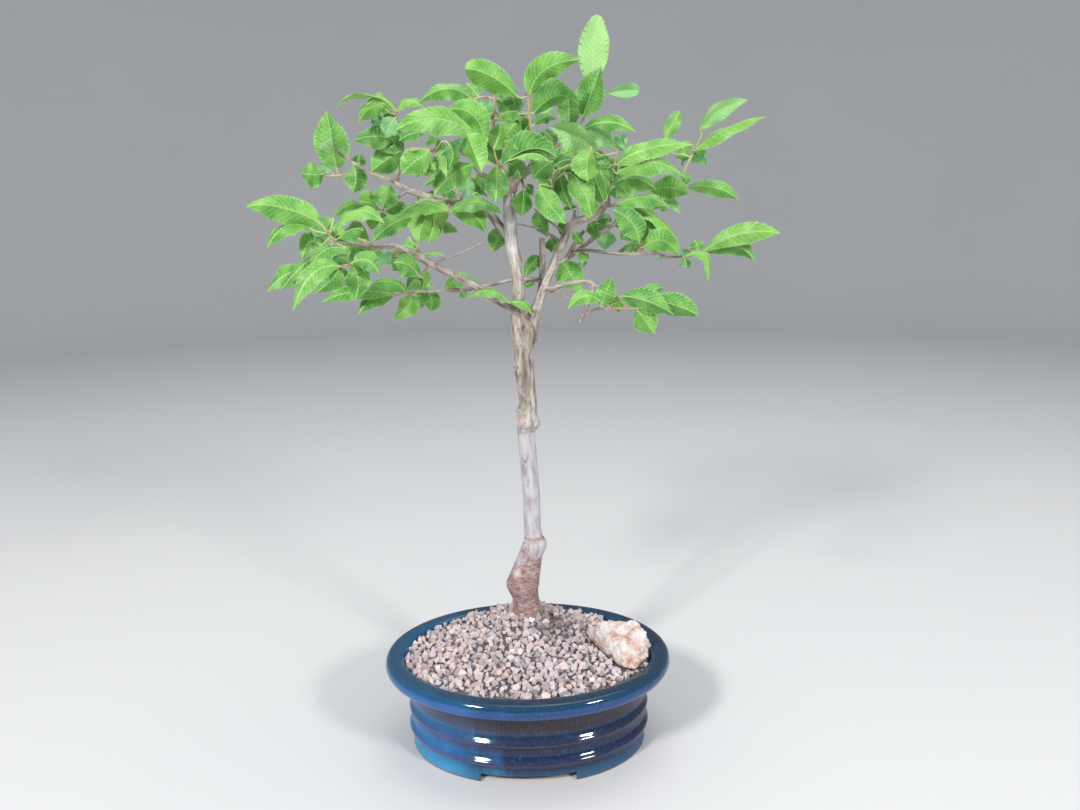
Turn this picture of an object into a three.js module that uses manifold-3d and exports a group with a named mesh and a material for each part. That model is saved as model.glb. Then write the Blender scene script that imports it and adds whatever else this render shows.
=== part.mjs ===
// Korean hornbeam bonsai in an oval glazed pot, in millimetres, +Z up.
// The tree is placed by sight lines: a point is a place in a 1080 x 810 frame and a depth
// behind the pot's middle, and seen() turns the two into a point in space.
import * as THREE from 'three';
import { ConvexGeometry } from 'three/addons/geometries/ConvexGeometry.js';
import { mergeVertices } from 'three/addons/utils/BufferGeometryUtils.js';
import Module from 'manifold-3d';

const wasm = await Module();
wasm.setup();

// Driving dimensions of the pot: an 8.5 in oval, 73 mm high
const POT_HALF = [108, 81];
const POT_SIDES = 32;
const FOOT_HEIGHT = 9.5;
const FOOT_GAP = [68, 6.2];
const FLOOR_TOP = 16;
const DRAIN = { radius: 6, places: [-42, 42] };
// Each row is the inset from the rim's outer edge and the height
const POT_OUTSIDE = [
  [29, FOOT_HEIGHT], [28, 0], [19.5, 0], [18.8, FOOT_HEIGHT], [16.6, 15], [16.6, 21], [19.8, 24],
  [17.2, 27], [17.2, 33.5], [20.2, 38], [20.4, 55], [3.2, 59.5], [0, 66], [2.5, 72],
];
const POT_INSIDE = [[13, 71.5], [14, 69], [26, 60], [27.5, 22], [33, FLOOR_TOP]];

// Driving dimensions of the soil, the stone and the tree
const REST_GAP = 0.3;
const SOIL_SIDE = [[33.4, FLOOR_TOP + REST_GAP], [27.9, 22.3], [26.5, 60.4], [16.4, 67.7]];
const SOIL_TOP = { inset: 14.8, height: 69.8, rings: 8, middle: 0.05 };
const MOUND = { place: [-3, 36], height: 12, spread: [50, 52] };
const GRAIN = 1.5;
const TRUNK_DEPTH = 38;
const THICK_LIMB = 4.2;
const THIN_LIMB = 2.3;
const BLADE = 0.7;
const STEM = { base: 1.2, tip: 0.95, past: 1 };
const PETIOLE = { blade: 0.55, root: 0.4, turn: 0.3, bend: 1.6 };
const FOLD = 14;
const SKY = new THREE.Vector3(0.3, 0, 1);
const LONG_LEAF = 27;
const SLIDES = [0, 6, -6, 12, -12, 18, -18, 24, -24, 30, -30];
const TOUCH = 1e-6;

// The camera that the sight lines start from
const LENS = { width: 1080, height: 810, focal: 800, pitch: 11.54, roll: -0.95 };
const EYE = new THREE.Vector3(12.5, -562, 376);

function seen(column, row, depth) {
  const roll = THREE.MathUtils.degToRad(LENS.roll);
  const pitch = THREE.MathUtils.degToRad(LENS.pitch);
  const right = column - LENS.width / 2;
  const above = LENS.height / 2 - row;
  const x = Math.cos(roll) * right - Math.sin(roll) * above;
  const up = Math.sin(roll) * right + Math.cos(roll) * above;
  const away = LENS.focal * Math.cos(pitch) + up * Math.sin(pitch);
  const rise = -LENS.focal * Math.sin(pitch) + up * Math.cos(pitch);
  const reach = (depth - EYE.y) / away;
  return new THREE.Vector3(EYE.x + x * reach, depth, EYE.z + rise * reach);
}

// A seeded run of numbers between 0 and 1
function drawer(seed) {
  let state = seed;
  return () => {
    state = (state * 48271) % 2147483647;
    return state / 2147483647;
  };
}

// Solids from points and faces
function solidOf(points, faces) {
  const vertProperties = new Float32Array(points.length * 3);
  points.forEach((p, i) => vertProperties.set([p.x, p.y, p.z], 3 * i));
  const triVerts = new Uint32Array(faces.flat());
  return new wasm.Manifold(new wasm.Mesh({ numProp: 3, vertProperties, triVerts }));
}

function solidOfGeometry(geometry) {
  const bare = new THREE.BufferGeometry();
  bare.setAttribute('position', geometry.getAttribute('position').clone());
  if (geometry.index) bare.setIndex(geometry.index.clone());
  const merged = mergeVertices(bare, 1e-4);
  return new wasm.Manifold(new wasm.Mesh({
    numProp: 3,
    vertProperties: new Float32Array(merged.getAttribute('position').array),
    triVerts: new Uint32Array(merged.index.array),
  }));
}

function meshOf(name, solid, material) {
  const found = solid.getMesh();
  const geometry = new THREE.BufferGeometry();
  geometry.setAttribute('position', new THREE.BufferAttribute(new Float32Array(found.vertProperties), 3));
  geometry.setIndex(new THREE.BufferAttribute(new Uint32Array(found.triVerts), 1));
  geometry.computeVertexNormals();
  const mesh = new THREE.Mesh(geometry, material);
  mesh.name = name;
  return mesh;
}

// The main body of a cut or a join, without slivers and closed bubbles
function whole(solid) {
  return solid.decompose().reduce((most, part) => (part.volume() > most.volume() ? part : most));
}

// Rings of points skinned into one closed body, with a fan over each end
function skinned(rings) {
  const sides = rings[0].length;
  const points = rings.flat();
  const faces = [];
  for (let k = 0; k + 1 < rings.length; k += 1) {
    for (let i = 0; i < sides; i += 1) {
      const a = k * sides + i;
      const b = k * sides + (i + 1) % sides;
      faces.push([a, b, b + sides], [a, b + sides, a + sides]);
    }
  }
  const last = (rings.length - 1) * sides;
  for (let i = 1; i + 1 < sides; i += 1) {
    faces.push([0, i + 1, i], [last, last + i, last + i + 1]);
  }
  return solidOf(points, faces);
}

// A limb with its own radius at each point of its route
function limb(route, grow, sides) {
  const rings = [];
  let side = new THREE.Vector3(0.3, 1, 0.2);
  route.forEach((spot, k) => {
    const before = route[Math.max(k - 1, 0)].at;
    const after = route[Math.min(k + 1, route.length - 1)].at;
    const along = after.clone().sub(before).normalize();
    side = side.clone().addScaledVector(along, -side.dot(along)).normalize();
    const third = along.clone().cross(side);
    const ring = [];
    for (let i = 0; i < sides; i += 1) {
      const turn = (2 * Math.PI * i) / sides;
      ring.push(spot.at.clone()
        .addScaledVector(side, (spot.radius + grow) * Math.cos(turn))
        .addScaledVector(third, (spot.radius + grow) * Math.sin(turn)));
    }
    rings.push(ring);
  });
  return skinned(rings);
}

// Oval rings: every point of a ring keeps the same inset from the rim
function ovalRing(inset, height, sides) {
  const ring = [];
  for (let i = 0; i < sides; i += 1) {
    const turn = (2 * Math.PI * i) / sides;
    ring.push(new THREE.Vector3(
      (POT_HALF[0] - inset) * Math.cos(turn),
      (POT_HALF[1] - inset) * Math.sin(turn),
      height,
    ));
  }
  return ring;
}

function makePot() {
  const outside = skinned([...POT_OUTSIDE, POT_INSIDE[0]].map(([inset, z]) => ovalRing(inset, z, POT_SIDES)));
  const inside = [...POT_INSIDE].reverse();
  inside.push([POT_INSIDE[0][0], 2 * POT_INSIDE[0][1]]);
  const hollow = skinned(inside.map(([inset, z]) => ovalRing(inset, z, POT_SIDES)));
  let pot = outside.subtract(hollow);
  const gap = new THREE.BoxGeometry(FOOT_GAP[0], 4 * POT_HALF[1], 2 * FOOT_GAP[1]);
  pot = pot.subtract(solidOfGeometry(gap));
  for (const x of DRAIN.places) {
    const hole = new THREE.CylinderGeometry(DRAIN.radius, DRAIN.radius, 40, 12);
    hole.rotateX(Math.PI / 2).translate(x, 0, FLOOR_TOP);
    pot = pot.subtract(solidOfGeometry(hole));
  }
  return pot;
}

// The top of the gravel: a mound round the trunk, falling to the rim
function soilHeight(x, y) {
  const away = Math.hypot((x - MOUND.place[0]) / MOUND.spread[0], (y - MOUND.place[1]) / MOUND.spread[1]);
  return SOIL_TOP.height + MOUND.height * Math.exp(-(away ** 2));
}

function makeSoil() {
  const draw = drawer(11);
  const rings = SOIL_SIDE.map(([inset, z]) => ovalRing(inset, z, POT_SIDES));
  for (let k = 0; k < SOIL_TOP.rings; k += 1) {
    const share = 1 - (1 - SOIL_TOP.middle) * (k / (SOIL_TOP.rings - 1));
    const ring = ovalRing(SOIL_TOP.inset, 0, POT_SIDES);
    ring.forEach((p) => {
      p.x *= share;
      p.y *= share;
      p.z = soilHeight(p.x, p.y) + (k ? GRAIN * (2 * draw() - 1) : 0);
    });
    rings.push(ring);
  }
  return skinned(rings);
}

// The stone's corners, by sight
const STONE = [
  [587, 632, 12], [606, 650, -11], [625, 667.5, -30], [636, 669, -31], [648, 656, -21], [650, 645, -9],
  [597, 623, 3], [610, 621.6, 6], [634.5, 620, 2], [645, 632, -8], [622, 640, -15], [640, 650, -22],
  [600, 632, 22], [630, 628, 20], [645, 640, 6], [612, 662, -9], [634, 660, -6],
];
const STONE_ROOM = 0.8;

function makeStone(grow) {
  const corners = STONE.map((spot) => seen(...spot));
  const middle = new THREE.Vector3();
  corners.forEach((p) => middle.addScaledVector(p, 1 / corners.length));
  corners.forEach((p) => p.addScaledVector(p.clone().sub(middle).normalize(), grow));
  return solidOfGeometry(new ConvexGeometry(corners));
}

// The wood. A row is a place in the frame, a depth and a radius
const TRUNK = [
  [527.2, 664, TRUNK_DEPTH, 9], [527.2, 640, TRUNK_DEPTH, 13], [527.2, 622, TRUNK_DEPTH, 12.2],
  [527.2, 612, TRUNK_DEPTH, 11.5], [525.3, 595, TRUNK_DEPTH, 10.8], [523.6, 583, TRUNK_DEPTH, 12.6],
  [526.4, 570, TRUNK_DEPTH, 11.2], [531, 553, TRUNK_DEPTH, 9.3], [534.6, 544, TRUNK_DEPTH, 9],
  [533.2, 536, TRUNK_DEPTH, 7.4], [532.5, 523, TRUNK_DEPTH, 6.8], [531.5, 498, TRUNK_DEPTH, 6.7],
  [529.7, 474, TRUNK_DEPTH, 6.4], [527.5, 450, TRUNK_DEPTH, 6.6], [526, 432, TRUNK_DEPTH, 7],
  [527.5, 423, TRUNK_DEPTH, 8.6], [526.8, 415, TRUNK_DEPTH, 7.9], [528, 402, TRUNK_DEPTH, 6.4],
  [525.4, 384, TRUNK_DEPTH, 6.6], [523.8, 367, TRUNK_DEPTH, 6.8], [523.8, 352, TRUNK_DEPTH, 6.5],
  [525.2, 336, TRUNK_DEPTH, 8], [525.6, 322, TRUNK_DEPTH + 1, 9.4], [525.6, 314, TRUNK_DEPTH + 2, 5.5],
];
const LIMBS = {
  leftLeader: [
    [525.5, 328, 38, 6.8], [519, 313, 38, 5.9], [518.5, 294, 37, 4.9], [517, 275, 36, 4.9],
    [516, 262, 35, 5.2], [512.5, 249, 34, 5.1], [510.5, 236, 34, 4.9], [509.8, 218, 34, 4.8],
    [509, 200, 34, 4.5], [509.4, 187, 34, 4.1],
  ],
  rightLeader: [
    [526, 326, 40, 6], [536, 312, 43, 4.3], [539.8, 300, 46, 3.7], [544, 288, 48, 3.6],
    [549, 275, 50, 3.4], [554.5, 262, 52, 3.4], [560, 249, 53, 3.5], [565.5, 236.5, 54, 3.4],
    [573, 224, 55, 3.4], [589, 217, 55, 3], [598, 211, 54, 2.7], [609, 203, 51, 2.3],
  ],
  rightLeaderEnd: [[604, 206, 52, 2], [620, 205, 49, 1.7], [632, 205.5, 46, 1.5]],
  middleStub: [[528, 324, 42, 5], [537, 304, 52, 3.7], [541, 288, 58, 3], [542, 262, 60, 2.8], [542, 238, 62, 2.5]],
  upperLeft: [
    [511, 238, 34, 4], [500.7, 228, 38, 4.2], [486.4, 211.8, 44, 3.6], [454.3, 203, 52, 3.2],
    [427.5, 196.6, 58, 2.9], [406, 189.5, 64, 2.7], [391.8, 180.5, 70, 2.4], [369, 171.6, 77, 2.2],
    [352.5, 162.7, 83, 1.9],
  ],
  upperLeftTip: [[355, 164, 82, 1.3], [337, 151.5, 88, 0.9], [325, 142, 91, 0.7]],
  upperLeftSide: [[407, 190.5, 64, 1.8], [395, 200, 60, 1.3], [383, 208, 55, 1.1]],
  upperLeftRise: [[397.5, 184, 68, 1.7], [399.5, 172, 65, 1.2], [401.6, 160, 62, 1.1]],
  lowerLeft: [
    [517, 312, 37, 4.6], [508, 306.7, 33, 3.9], [491, 296.5, 28, 3.5], [478, 287.6, 23, 3.4],
    [456.6, 276.7, 15, 3.3], [440, 268.4, 8, 3.1], [418.6, 257.3, -2, 2.9], [400.7, 248.4, -10, 2.6],
    [388, 245.7, -16, 2.5], [365, 244.8, -25, 1.8], [345, 243.6, -33, 1.4], [336, 242.5, -36, 1.2],
  ],
  lowerLeftSide: [[385, 246, -17, 1.6], [377.5, 249.3, -21, 1.3], [366, 256, -28, 1.2], [354.3, 263.6, -38, 1]],
  lowerLeftBare: [[433, 265, 5, 1.4], [446, 258.5, 0, 0.9], [462, 253, -5, 0.8], [481, 243, -12, 0.8]],
  lowThin: [
    [541, 280, 58, 2.2], [526, 279, 58, 1.9], [509.6, 280.5, 57, 1.8], [486, 286, 54, 1.7],
    [468.6, 289.5, 51, 1.5], [443.6, 291.3, 46, 1.3], [420, 291.5, 41, 1.2],
  ],
  lowThinSpur: [[488, 286, 54, 1.2], [488, 303, 52, 0.9]],
  rightLow: [
    [543, 290, 48, 2.7], [549.7, 288.8, 44, 2.5], [567.6, 283.7, 34, 2.3], [586.7, 281.8, 22, 2.2],
    [594, 285.6, 18, 2], [601, 288, 14, 1.6],
  ],
  rightLowCut: [[592, 284.5, 19, 1.9], [591, 295, 14, 1.6], [586, 309, 9, 1.5], [579, 322, 4, 1.5]],
  rightLowTwig: [[583, 317, 5.5, 1.4], [590, 312, 0, 1.1], [597, 309, -6, 1], [605, 308, -10, 1]],
  rightMidDark: [[554, 265, 52, 2.6], [566, 259, 58, 2.4], [580, 249, 64, 2.3], [597, 235.5, 71, 2.2], [614.5, 224, 78, 1.9]],
  rightMidStub: [[567, 258, 59, 2], [577, 240, 66, 1.9], [584, 231, 69, 1.7]],
  rightMidThin: [
    [579, 250, 63, 1.9], [590.5, 250.6, 57, 1.6], [618.6, 253.8, 46, 1.5], [640, 254, 38, 1.4],
    [657.6, 253.5, 31, 1.3], [670, 257, 27, 1.2], [690, 255.5, 20, 1],
  ],
  behindLow: [[562, 242, 54, 1.4], [541, 229.6, 64, 1], [516.7, 223.5, 72, 0.9]],
  behindHigh: [[567, 235, 55, 1.4], [548, 220, 66, 1], [534, 208.5, 74, 0.9]],
  rightStub: [[573, 223, 55, 1.7], [575, 210, 56, 1.3]],
  topLeft: [
    [509, 190, 34, 2.8], [498, 182, 28, 1.9], [486, 177.5, 20, 1.7], [474, 166, 10, 1.5],
    [470, 156.5, 5, 1.4], [455, 153.5, -6, 1.2], [437, 152, -18, 1.1],
  ],
  topBack: [[509, 190, 36, 2.6], [501, 165, 42, 1.9], [495, 140, 48, 1.7], [493, 122, 52, 1.7], [494, 97, 56, 1.7]],
  topCentre: [[510, 191, 34, 2.8], [521, 178, 30, 1.9], [532, 162, 24, 1.7], [534, 150, 20, 1.5], [533, 143, 17, 1.3]],
  topRight: [[520, 179, 30, 1.8], [540, 164, 36, 1.5], [551, 152, 40, 1.3], [557, 146, 42, 1.2]],
  trunkScar: [[521, 411, 37, 3], [515, 408.5, 34, 2.4]],
  trunkKnob: [[521, 368, 36, 3.4], [515.4, 367, 33, 2.4]],
};

function routeOf(rows) {
  return rows.map(([column, row, depth, radius]) => ({ at: seen(column, row, depth), radius }));
}

function makeWood(grow) {
  let wood = limb(routeOf(TRUNK), grow, 8);
  for (const rows of Object.values(LIMBS)) {
    const thick = Math.max(...rows.map((spot) => spot[3]));
    const sides = thick > THICK_LIMB ? 6 : thick > THIN_LIMB ? 5 : 4;
    wood = wood.add(limb(routeOf(rows), grow, sides));
  }
  return wood;
}

// Leafy shoots. A leaf's row holds its base, middle and tip in the frame, its width in mm,
// the tilt of its upper face from the viewer to the sky, and the depths of its base and tip
const SHOOTS = {
  left_end: {
    stem: [[336, 242.5, -36], [328, 238, -37], [320, 231, -39], [312, 225, -40]],
    leaves: [
      [313, 223.5, 281, 208, 246.5, 203.7, 25, 35, -41, -56],
      [309, 228, 285, 232, 267, 249, 18, 60, -42, -50], [333, 219, 323, 232, 317, 246.5, 22, 165, -30, -34],
      [336, 230, 358, 215, 379, 223, 18, 50, -42, -46], [340, 236, 351, 231, 363, 231, 12, 40, -40, -44],
      [316, 243, 300, 262, 280, 291, 18, 50, -38, -50],
      [344, 248.5, 325, 251, 309, 271.5, 18, 40, -38, -48],
    ],
  },
  left_side: {
    stem: [[354.3, 263.6, -38], [345, 265, -41], [334, 267, -44], [318, 269, -47]],
    leaves: [
      [307, 271, 289, 277, 269.5, 292, 20, 35, -50, -56], [338, 267, 318, 276, 296, 310, 26, 15, -47, -58],
      [338, 269, 331, 281, 315, 294, 20, 20, -42, -40], [352, 264, 357, 280, 354.5, 300, 26, 0, -42, -46],
      [354, 262, 368, 261, 379, 274, 20, 25, -36, -34],
    ],
  },
  left_under: {
    stem: [[420, 291.5, 41], [408, 293, 38], [397, 295, 35], [388, 297, 32]],
    leaves: [
      [390, 294, 356, 294, 321.5, 302.5, 17, 50, 30, 14],
      [388, 297, 373, 302, 358.5, 314.5, 20, 30, 28, 18], [407, 293, 388, 283, 366, 283, 17, 40, 40, 42],
      [411, 294, 406, 307, 393, 319.5, 22, 10, 36, 24], [424, 291, 431, 301, 430, 311.5, 22, 15, 42, 38],
      [418, 291, 422, 300, 420, 309, 12, 20, 46, 46],
    ],
  },
  left_hanging: {
    stem: [[428, 263, 2], [427, 268, 0], [424, 272, -2], [419, 276, -4]],
    leaves: [
      [418, 276, 407, 266.5, 395, 267, 20, 20, -6, -14], [417, 278, 411, 284, 407, 291, 18, 20, -4, 4],
      [420, 277, 424, 281, 421, 290, 12, 10, -2, 4],
    ],
  },
  left_below: {
    stem: [[399, 248, -11], [397, 253, -9], [394, 257, -8]],
    leaves: [
      [395, 253, 387, 258, 382, 267, 10, 150, -8, -6], [400, 257, 397, 265, 391, 271, 12, 30, -4, 2],
      [398, 256, 408, 256, 416, 262, 12, 60, -2, 2],
    ],
  },
  upper_left_side: {
    stem: [[383, 208, 55], [376, 211, 50], [369, 213.5, 45]],
    leaves: [
      [371, 209, 352, 205, 333, 216, 22, 45, 40, 22], [383, 208, 388, 196, 392, 186, 24, 10, 55, 60],
      [369, 213, 370, 203, 371, 191, 14, 10, 52, 56], [381, 210, 370, 204, 358, 205, 12, 60, 46, 40],
      [379, 212, 373, 221, 370, 230, 14, 20, 48, 50], [385, 211, 394, 208, 404, 203, 10, 30, 57, 62],
      [384, 213, 381, 220, 377, 228, 10, 30, 56, 58], [357, 224, 355, 244, 347, 265.5, 26, 10, 30, 22],
    ],
  },
  upper_left_front: {
    stem: [[449, 202, 53], [449, 207, 48], [444, 211, 44], [432, 213, 40]],
    leaves: [
      [450, 211, 440, 226, 421, 245, 32, 0, 42, 30], [451, 212, 470, 216, 486, 234, 24, 20, 44, 34],
      [451, 211, 474, 203, 500, 213, 20, 45, 44, 38], [417, 215, 394, 225, 373, 241, 20, 30, 42, 30],
      [442, 209, 420, 202.5, 400, 213.5, 14, 45, 46, 42], [434, 224, 432, 233, 429, 242, 12, 20, 38, 34],
      [440, 224, 449, 226, 458, 232, 10, 45, 46, 48],
    ],
  },
  low_pair: {
    stem: [[462, 290, 50], [454, 288.5, 46], [447, 289, 44]],
    leaves: [[446, 288, 460, 279, 479, 285, 16, 45, 46, 52]],
  },
  far_left: {
    stem: [[362, 168.5, 79], [350, 173, 76], [336, 176, 73], [324, 174, 71]],
    leaves: [
      [336.5, 166, 335, 140, 330, 112, 34, 0, 72, 66], [322, 173, 312, 174, 302, 177, 20, 10, 68, 60],
      [353, 165, 354, 180, 352.5, 193.5, 24, 0, 70, 60], [364, 166, 363, 159, 362, 152, 18, 10, 84, 88],
    ],
  },
  upper_left_tuft: {
    stem: [[401.6, 160, 62], [402.9, 146, 58], [400, 132, 54], [397, 120, 51], [397, 114, 50]],
    leaves: [
      [394, 110, 365, 92, 336, 111, 15, 60, 48, 34], [389, 112, 373, 111, 358, 123.5, 18, 40, 46, 38],
      [393, 137, 374, 138, 354, 140.5, 20, 20, 52, 40], [395, 118, 389, 128, 385.5, 138, 14, 170, 48, 44],
      [395, 116, 388, 113, 381, 111, 10, 150, 54, 58], [398, 113, 414, 102, 432, 111, 10, 50, 48, 44],
      [400, 151, 385, 162, 371, 172, 28, 5, 58, 50],
    ],
  },
  top_left_end: {
    stem: [[437, 152, -18], [424, 149, -25], [410, 151, -31]],
    leaves: [
      [428, 153.5, 416, 166, 403, 178, 28, 5, -28, -34], [436, 155, 434, 165, 428, 176, 12, 30, -20, -24],
      [441, 142, 445, 160, 443, 178, 16, 30, -20, -26], [448, 142, 453, 156, 447, 171, 16, 150, -10, -12],
      [441, 146, 436, 138, 428, 134, 14, 60, -14, -6],
    ],
  },
  top_left_front: {
    stem: [[473, 164, 8], [471, 155, 0], [469, 146, -8], [468, 138, -14]],
    leaves: [
      [465, 134, 432, 118, 396, 131, 24, 35, -18, -40], [468, 133, 478, 150, 482, 173, 24, 0, -20, -30],
      [484, 136, 472, 115, 447, 110, 26, 20, -8, -14], [464, 138, 460, 146, 457, 152, 12, 10, -6, -2],
      [474, 167, 453, 177, 433, 196, 26, 20, -2, -12],
    ],
  },
  left_inner: {
    stem: [[460, 204, 50], [462, 196, 44], [466, 188, 40], [471, 181, 37]],
    leaves: [
      [469, 178, 467, 187, 466, 197, 14, 160, 36, 36], [474, 178, 480, 186, 482, 195, 16, 20, 36, 38],
    ],
  },
  top_front: {
    stem: [[507, 189, 32], [503, 178, 20], [500, 168, 10], [496, 159, 4], [494, 150, 0]],
    leaves: [
      [496, 167, 497, 185, 495.5, 202.5, 20, 0, 4, -4], [506, 163, 530, 149, 557, 158, 26, 40, 4, -6],
      [508, 164, 516, 169, 520, 178, 18, 10, 12, 10], [494, 147, 499, 135, 500, 122, 16, 10, -2, 2],
      [503, 138, 511, 128, 519, 119, 18, 10, 12, 18], [500, 143, 509, 142, 518, 149, 12, 30, -2, -6],
    ],
  },
  top_back_left: {
    stem: [[494, 100, 56], [487, 97, 56], [478, 98, 55]],
    leaves: [
      [467, 97, 446, 89, 419, 103, 17, 40, 52, 44], [478, 96, 473, 89, 467, 83, 16, 20, 60, 66],
      [489, 115, 486, 107, 482, 99, 14, 160, 50, 46], [497, 99, 506, 104, 513, 112, 14, 20, 62, 70],
    ],
  },
  top_centre: {
    stem: [[533, 143, 17], [531, 130, 12], [529, 112, 8], [528, 96, 5], [527, 86, 4]],
    leaves: [
      [518, 96, 497, 78, 465, 70, 28, 10, 4, -6], [531, 93, 548, 65, 578, 62, 24, 35, 2, -6],
      [534, 112, 555, 93, 579, 103, 26, 35, 6, -4], [526, 117, 512, 112, 498, 119, 11, 50, 14, 18],
      [512, 111, 514, 101, 509, 93, 18, 20, 22, 28], [529, 125, 523, 133, 519, 143, 12, 20, 20, 24],
    ],
  },
  top_right: {
    stem: [[557, 146, 42], [568, 137, 40], [578, 128, 38], [584, 117, 36], [590, 100, 34], [592, 87, 33]],
    leaves: [
      [583, 114, 592, 92, 602, 68, 26, 10, 30, 26], [593, 82, 594, 48, 601, 14.5, 25, 178, 34, 40],
      [585, 128, 610, 120, 635, 131, 14, 55, 34, 24], [569, 126, 569, 108, 567, 92, 20, 5, 42, 48],
      [604, 95, 622, 91, 640, 92, 13, 40, 38, 42], [553, 147, 549, 136, 540, 132, 14, 30, 46, 50],
      [575, 133, 586, 137, 594, 148, 11, 30, 42, 44],
    ],
  },
  right_top: {
    stem: [[609, 203, 51], [608.6, 192, 46], [612, 175, 38], [616, 158, 32], [617.5, 149, 30]],
    leaves: [
      [620, 163, 650, 145, 691, 143, 18, 40, 28, 14], [617, 175, 650, 163, 683, 178, 24, 40, 30, 12],
      [613, 147, 602, 134, 586, 128, 18, 150, 28, 24], [613, 147, 620, 141, 628, 137, 16, 150, 28, 26],
      [595, 150, 572, 137, 549, 131, 22, 140, 24, 14], [597, 162, 582, 153, 566, 156, 14, 50, 34, 36],
      [613, 184, 631, 180, 650, 190, 26, 30, 40, 40], [616, 187, 617, 193, 616, 199, 14, 10, 34, 32],
    ],
  },
  right_shoot: {
    stem: [
      [632, 205.5, 46], [650, 201, 52], [668, 194, 58], [682, 184, 62], [684, 172, 62], [689, 161, 62],
      [694, 151, 62], [699, 141, 62], [702, 134, 62],
    ],
    leaves: [
      [704, 130, 721, 110, 749.5, 100, 17, 160, 60, 52], [694, 152, 729, 129, 767, 115.5, 15, 45, 58, 46],
      [694, 157, 701, 158, 706, 165, 18, 150, 64, 66], [688, 160, 682, 157, 676, 155, 16, 30, 66, 68],
      [686, 186, 712, 186, 739, 199, 16, 15, 56, 44], [655, 192, 670, 188, 686, 193, 20, 10, 46, 36],
      [684, 184, 686, 178, 680, 174, 10, 30, 58, 56], [627, 200, 646, 197.5, 668, 206, 26, 25, 36, 26],
      [636, 206, 658, 217, 679, 239, 14, 45, 40, 26], [636, 213, 652, 220, 670, 232, 14, 40, 46, 40],
      [670, 150, 672, 130, 681, 112, 13, 5, 66, 70],
    ],
  },
  right_mid: {
    stem: [[638, 254, 39], [639, 248, 37], [640, 242, 35]],
    leaves: [
      [639, 240, 632, 222, 614, 207, 26, 5, 34, 30], [645, 246, 664, 241, 680, 256, 26, 20, 30, 14],
      [634, 231, 627, 237, 621, 244, 14, 20, 38, 42], [640, 243, 645, 236, 642, 226, 12, 20, 40, 44],
    ],
  },
  right_end: {
    stem: [[690, 255.5, 20], [698, 252.5, 16], [704, 249.5, 13]],
    leaves: [
      [702, 250, 742, 232, 780, 234, 19, 15, 10, -6], [706, 251, 735, 243, 754.5, 263, 16, 25, 12, 4],
      [698, 250, 697, 245, 694, 240, 14, 10, 20, 24], [692, 256, 704, 258, 708, 281, 13, 40, 14, 4],
      [683, 258, 686, 262, 686, 268, 11, 20, 18, 14],
    ],
  },
  right_low: {
    stem: [[605, 308, -10], [618, 308.5, -16], [630, 308.5, -22], [643, 308, -28]],
    leaves: [
      [601, 305, 606, 292, 611.6, 278.6, 20, 0, -12, -16], [598, 303, 584, 299, 568, 308, 12, 30, -12, -20],
      [600, 302, 590, 297, 581, 295, 10, 40, -6, -4], [624, 296, 648, 299, 673, 314, 22, 15, -26, -38],
      [648, 297, 672, 300, 700, 315, 24, 10, -18, -26], [647, 297, 652, 290, 661, 287, 12, 20, -10, -6],
      [641, 309, 648, 320, 655, 334, 20, 0, -32, -40], [610, 306, 617, 302, 626, 300, 14, 30, -10, -8],
    ],
  },
  centre: {
    stem: [[540, 164, 36], [547, 172, 30], [553, 180, 26], [553, 187, 24]],
    leaves: [
      [571, 175, 580, 190, 586, 212, 26, 0, 18, 10], [572, 165, 583, 163, 590, 181, 24, 10, 10, 0],
      [552, 161, 543, 168, 532, 179, 22, 0, 22, 18], [552, 189, 546, 185, 539, 186, 12, 30, 20, 14],
      [544, 191, 551, 206, 566, 223, 26, 0, 22, 14],
    ],
  },
  right_inner: {
    stem: [[598, 211, 54], [603, 206, 46], [602, 199, 40]],
    leaves: [
      [604, 201, 598, 186, 590, 168, 22, 5, 38, 34], [601, 202, 593, 194, 584, 197, 10, 40, 34, 30],
      [588, 200, 590, 209, 592, 220, 16, 10, 30, 28],
    ],
  },
  middle_right: {
    stem: [[568, 258, 59], [572, 254, 54], [577, 253, 52]],
    leaves: [
      [578, 254, 584, 256, 590, 259, 12, 40, 50, 48], [567, 266, 572, 277, 580, 296, 22, 10, 60, 62],
    ],
  },
  top_inner: {
    stem: [[521, 178, 30], [523, 184, 27], [524, 190, 26]],
    leaves: [[523, 190, 523, 203, 521, 217, 18, 5, 25, 20]],
  },
  behind_leader: {
    stem: [[500.7, 228, 38], [500, 229, 44], [500, 228, 49]],
    leaves: [[500, 228, 497, 240, 493, 252.5, 18, 5, 50, 54]],
  },
  behind_high: {
    stem: [[536, 210, 73], [537, 210, 77]],
    leaves: [[538, 211, 543, 222, 548, 236, 14, 10, 78, 82]],
  },
  behind_low: {
    stem: [[551, 235.3, 59], [551, 237, 63]],
    leaves: [[551, 238, 553, 246, 552, 253, 12, 10, 64, 66]],
  },
  low_leader: {
    stem: [[514, 303, 37], [510, 302, 29], [507, 301.5, 27]],
    leaves: [[505, 301, 489, 291, 468, 298, 10, 50, 27, 20]],
  },
  right_mid_up: {
    stem: [[614.5, 224, 78], [618, 221.5, 80], [621, 219.5, 81.5]],
    leaves: [
      [609, 231, 606, 240, 605, 250, 20, 170, 86, 84], [612, 227, 600, 224, 590, 228, 12, 30, 74, 70],
      [614, 226, 622, 222, 630, 226, 12, 30, 80, 84],
    ],
  },
};

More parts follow.
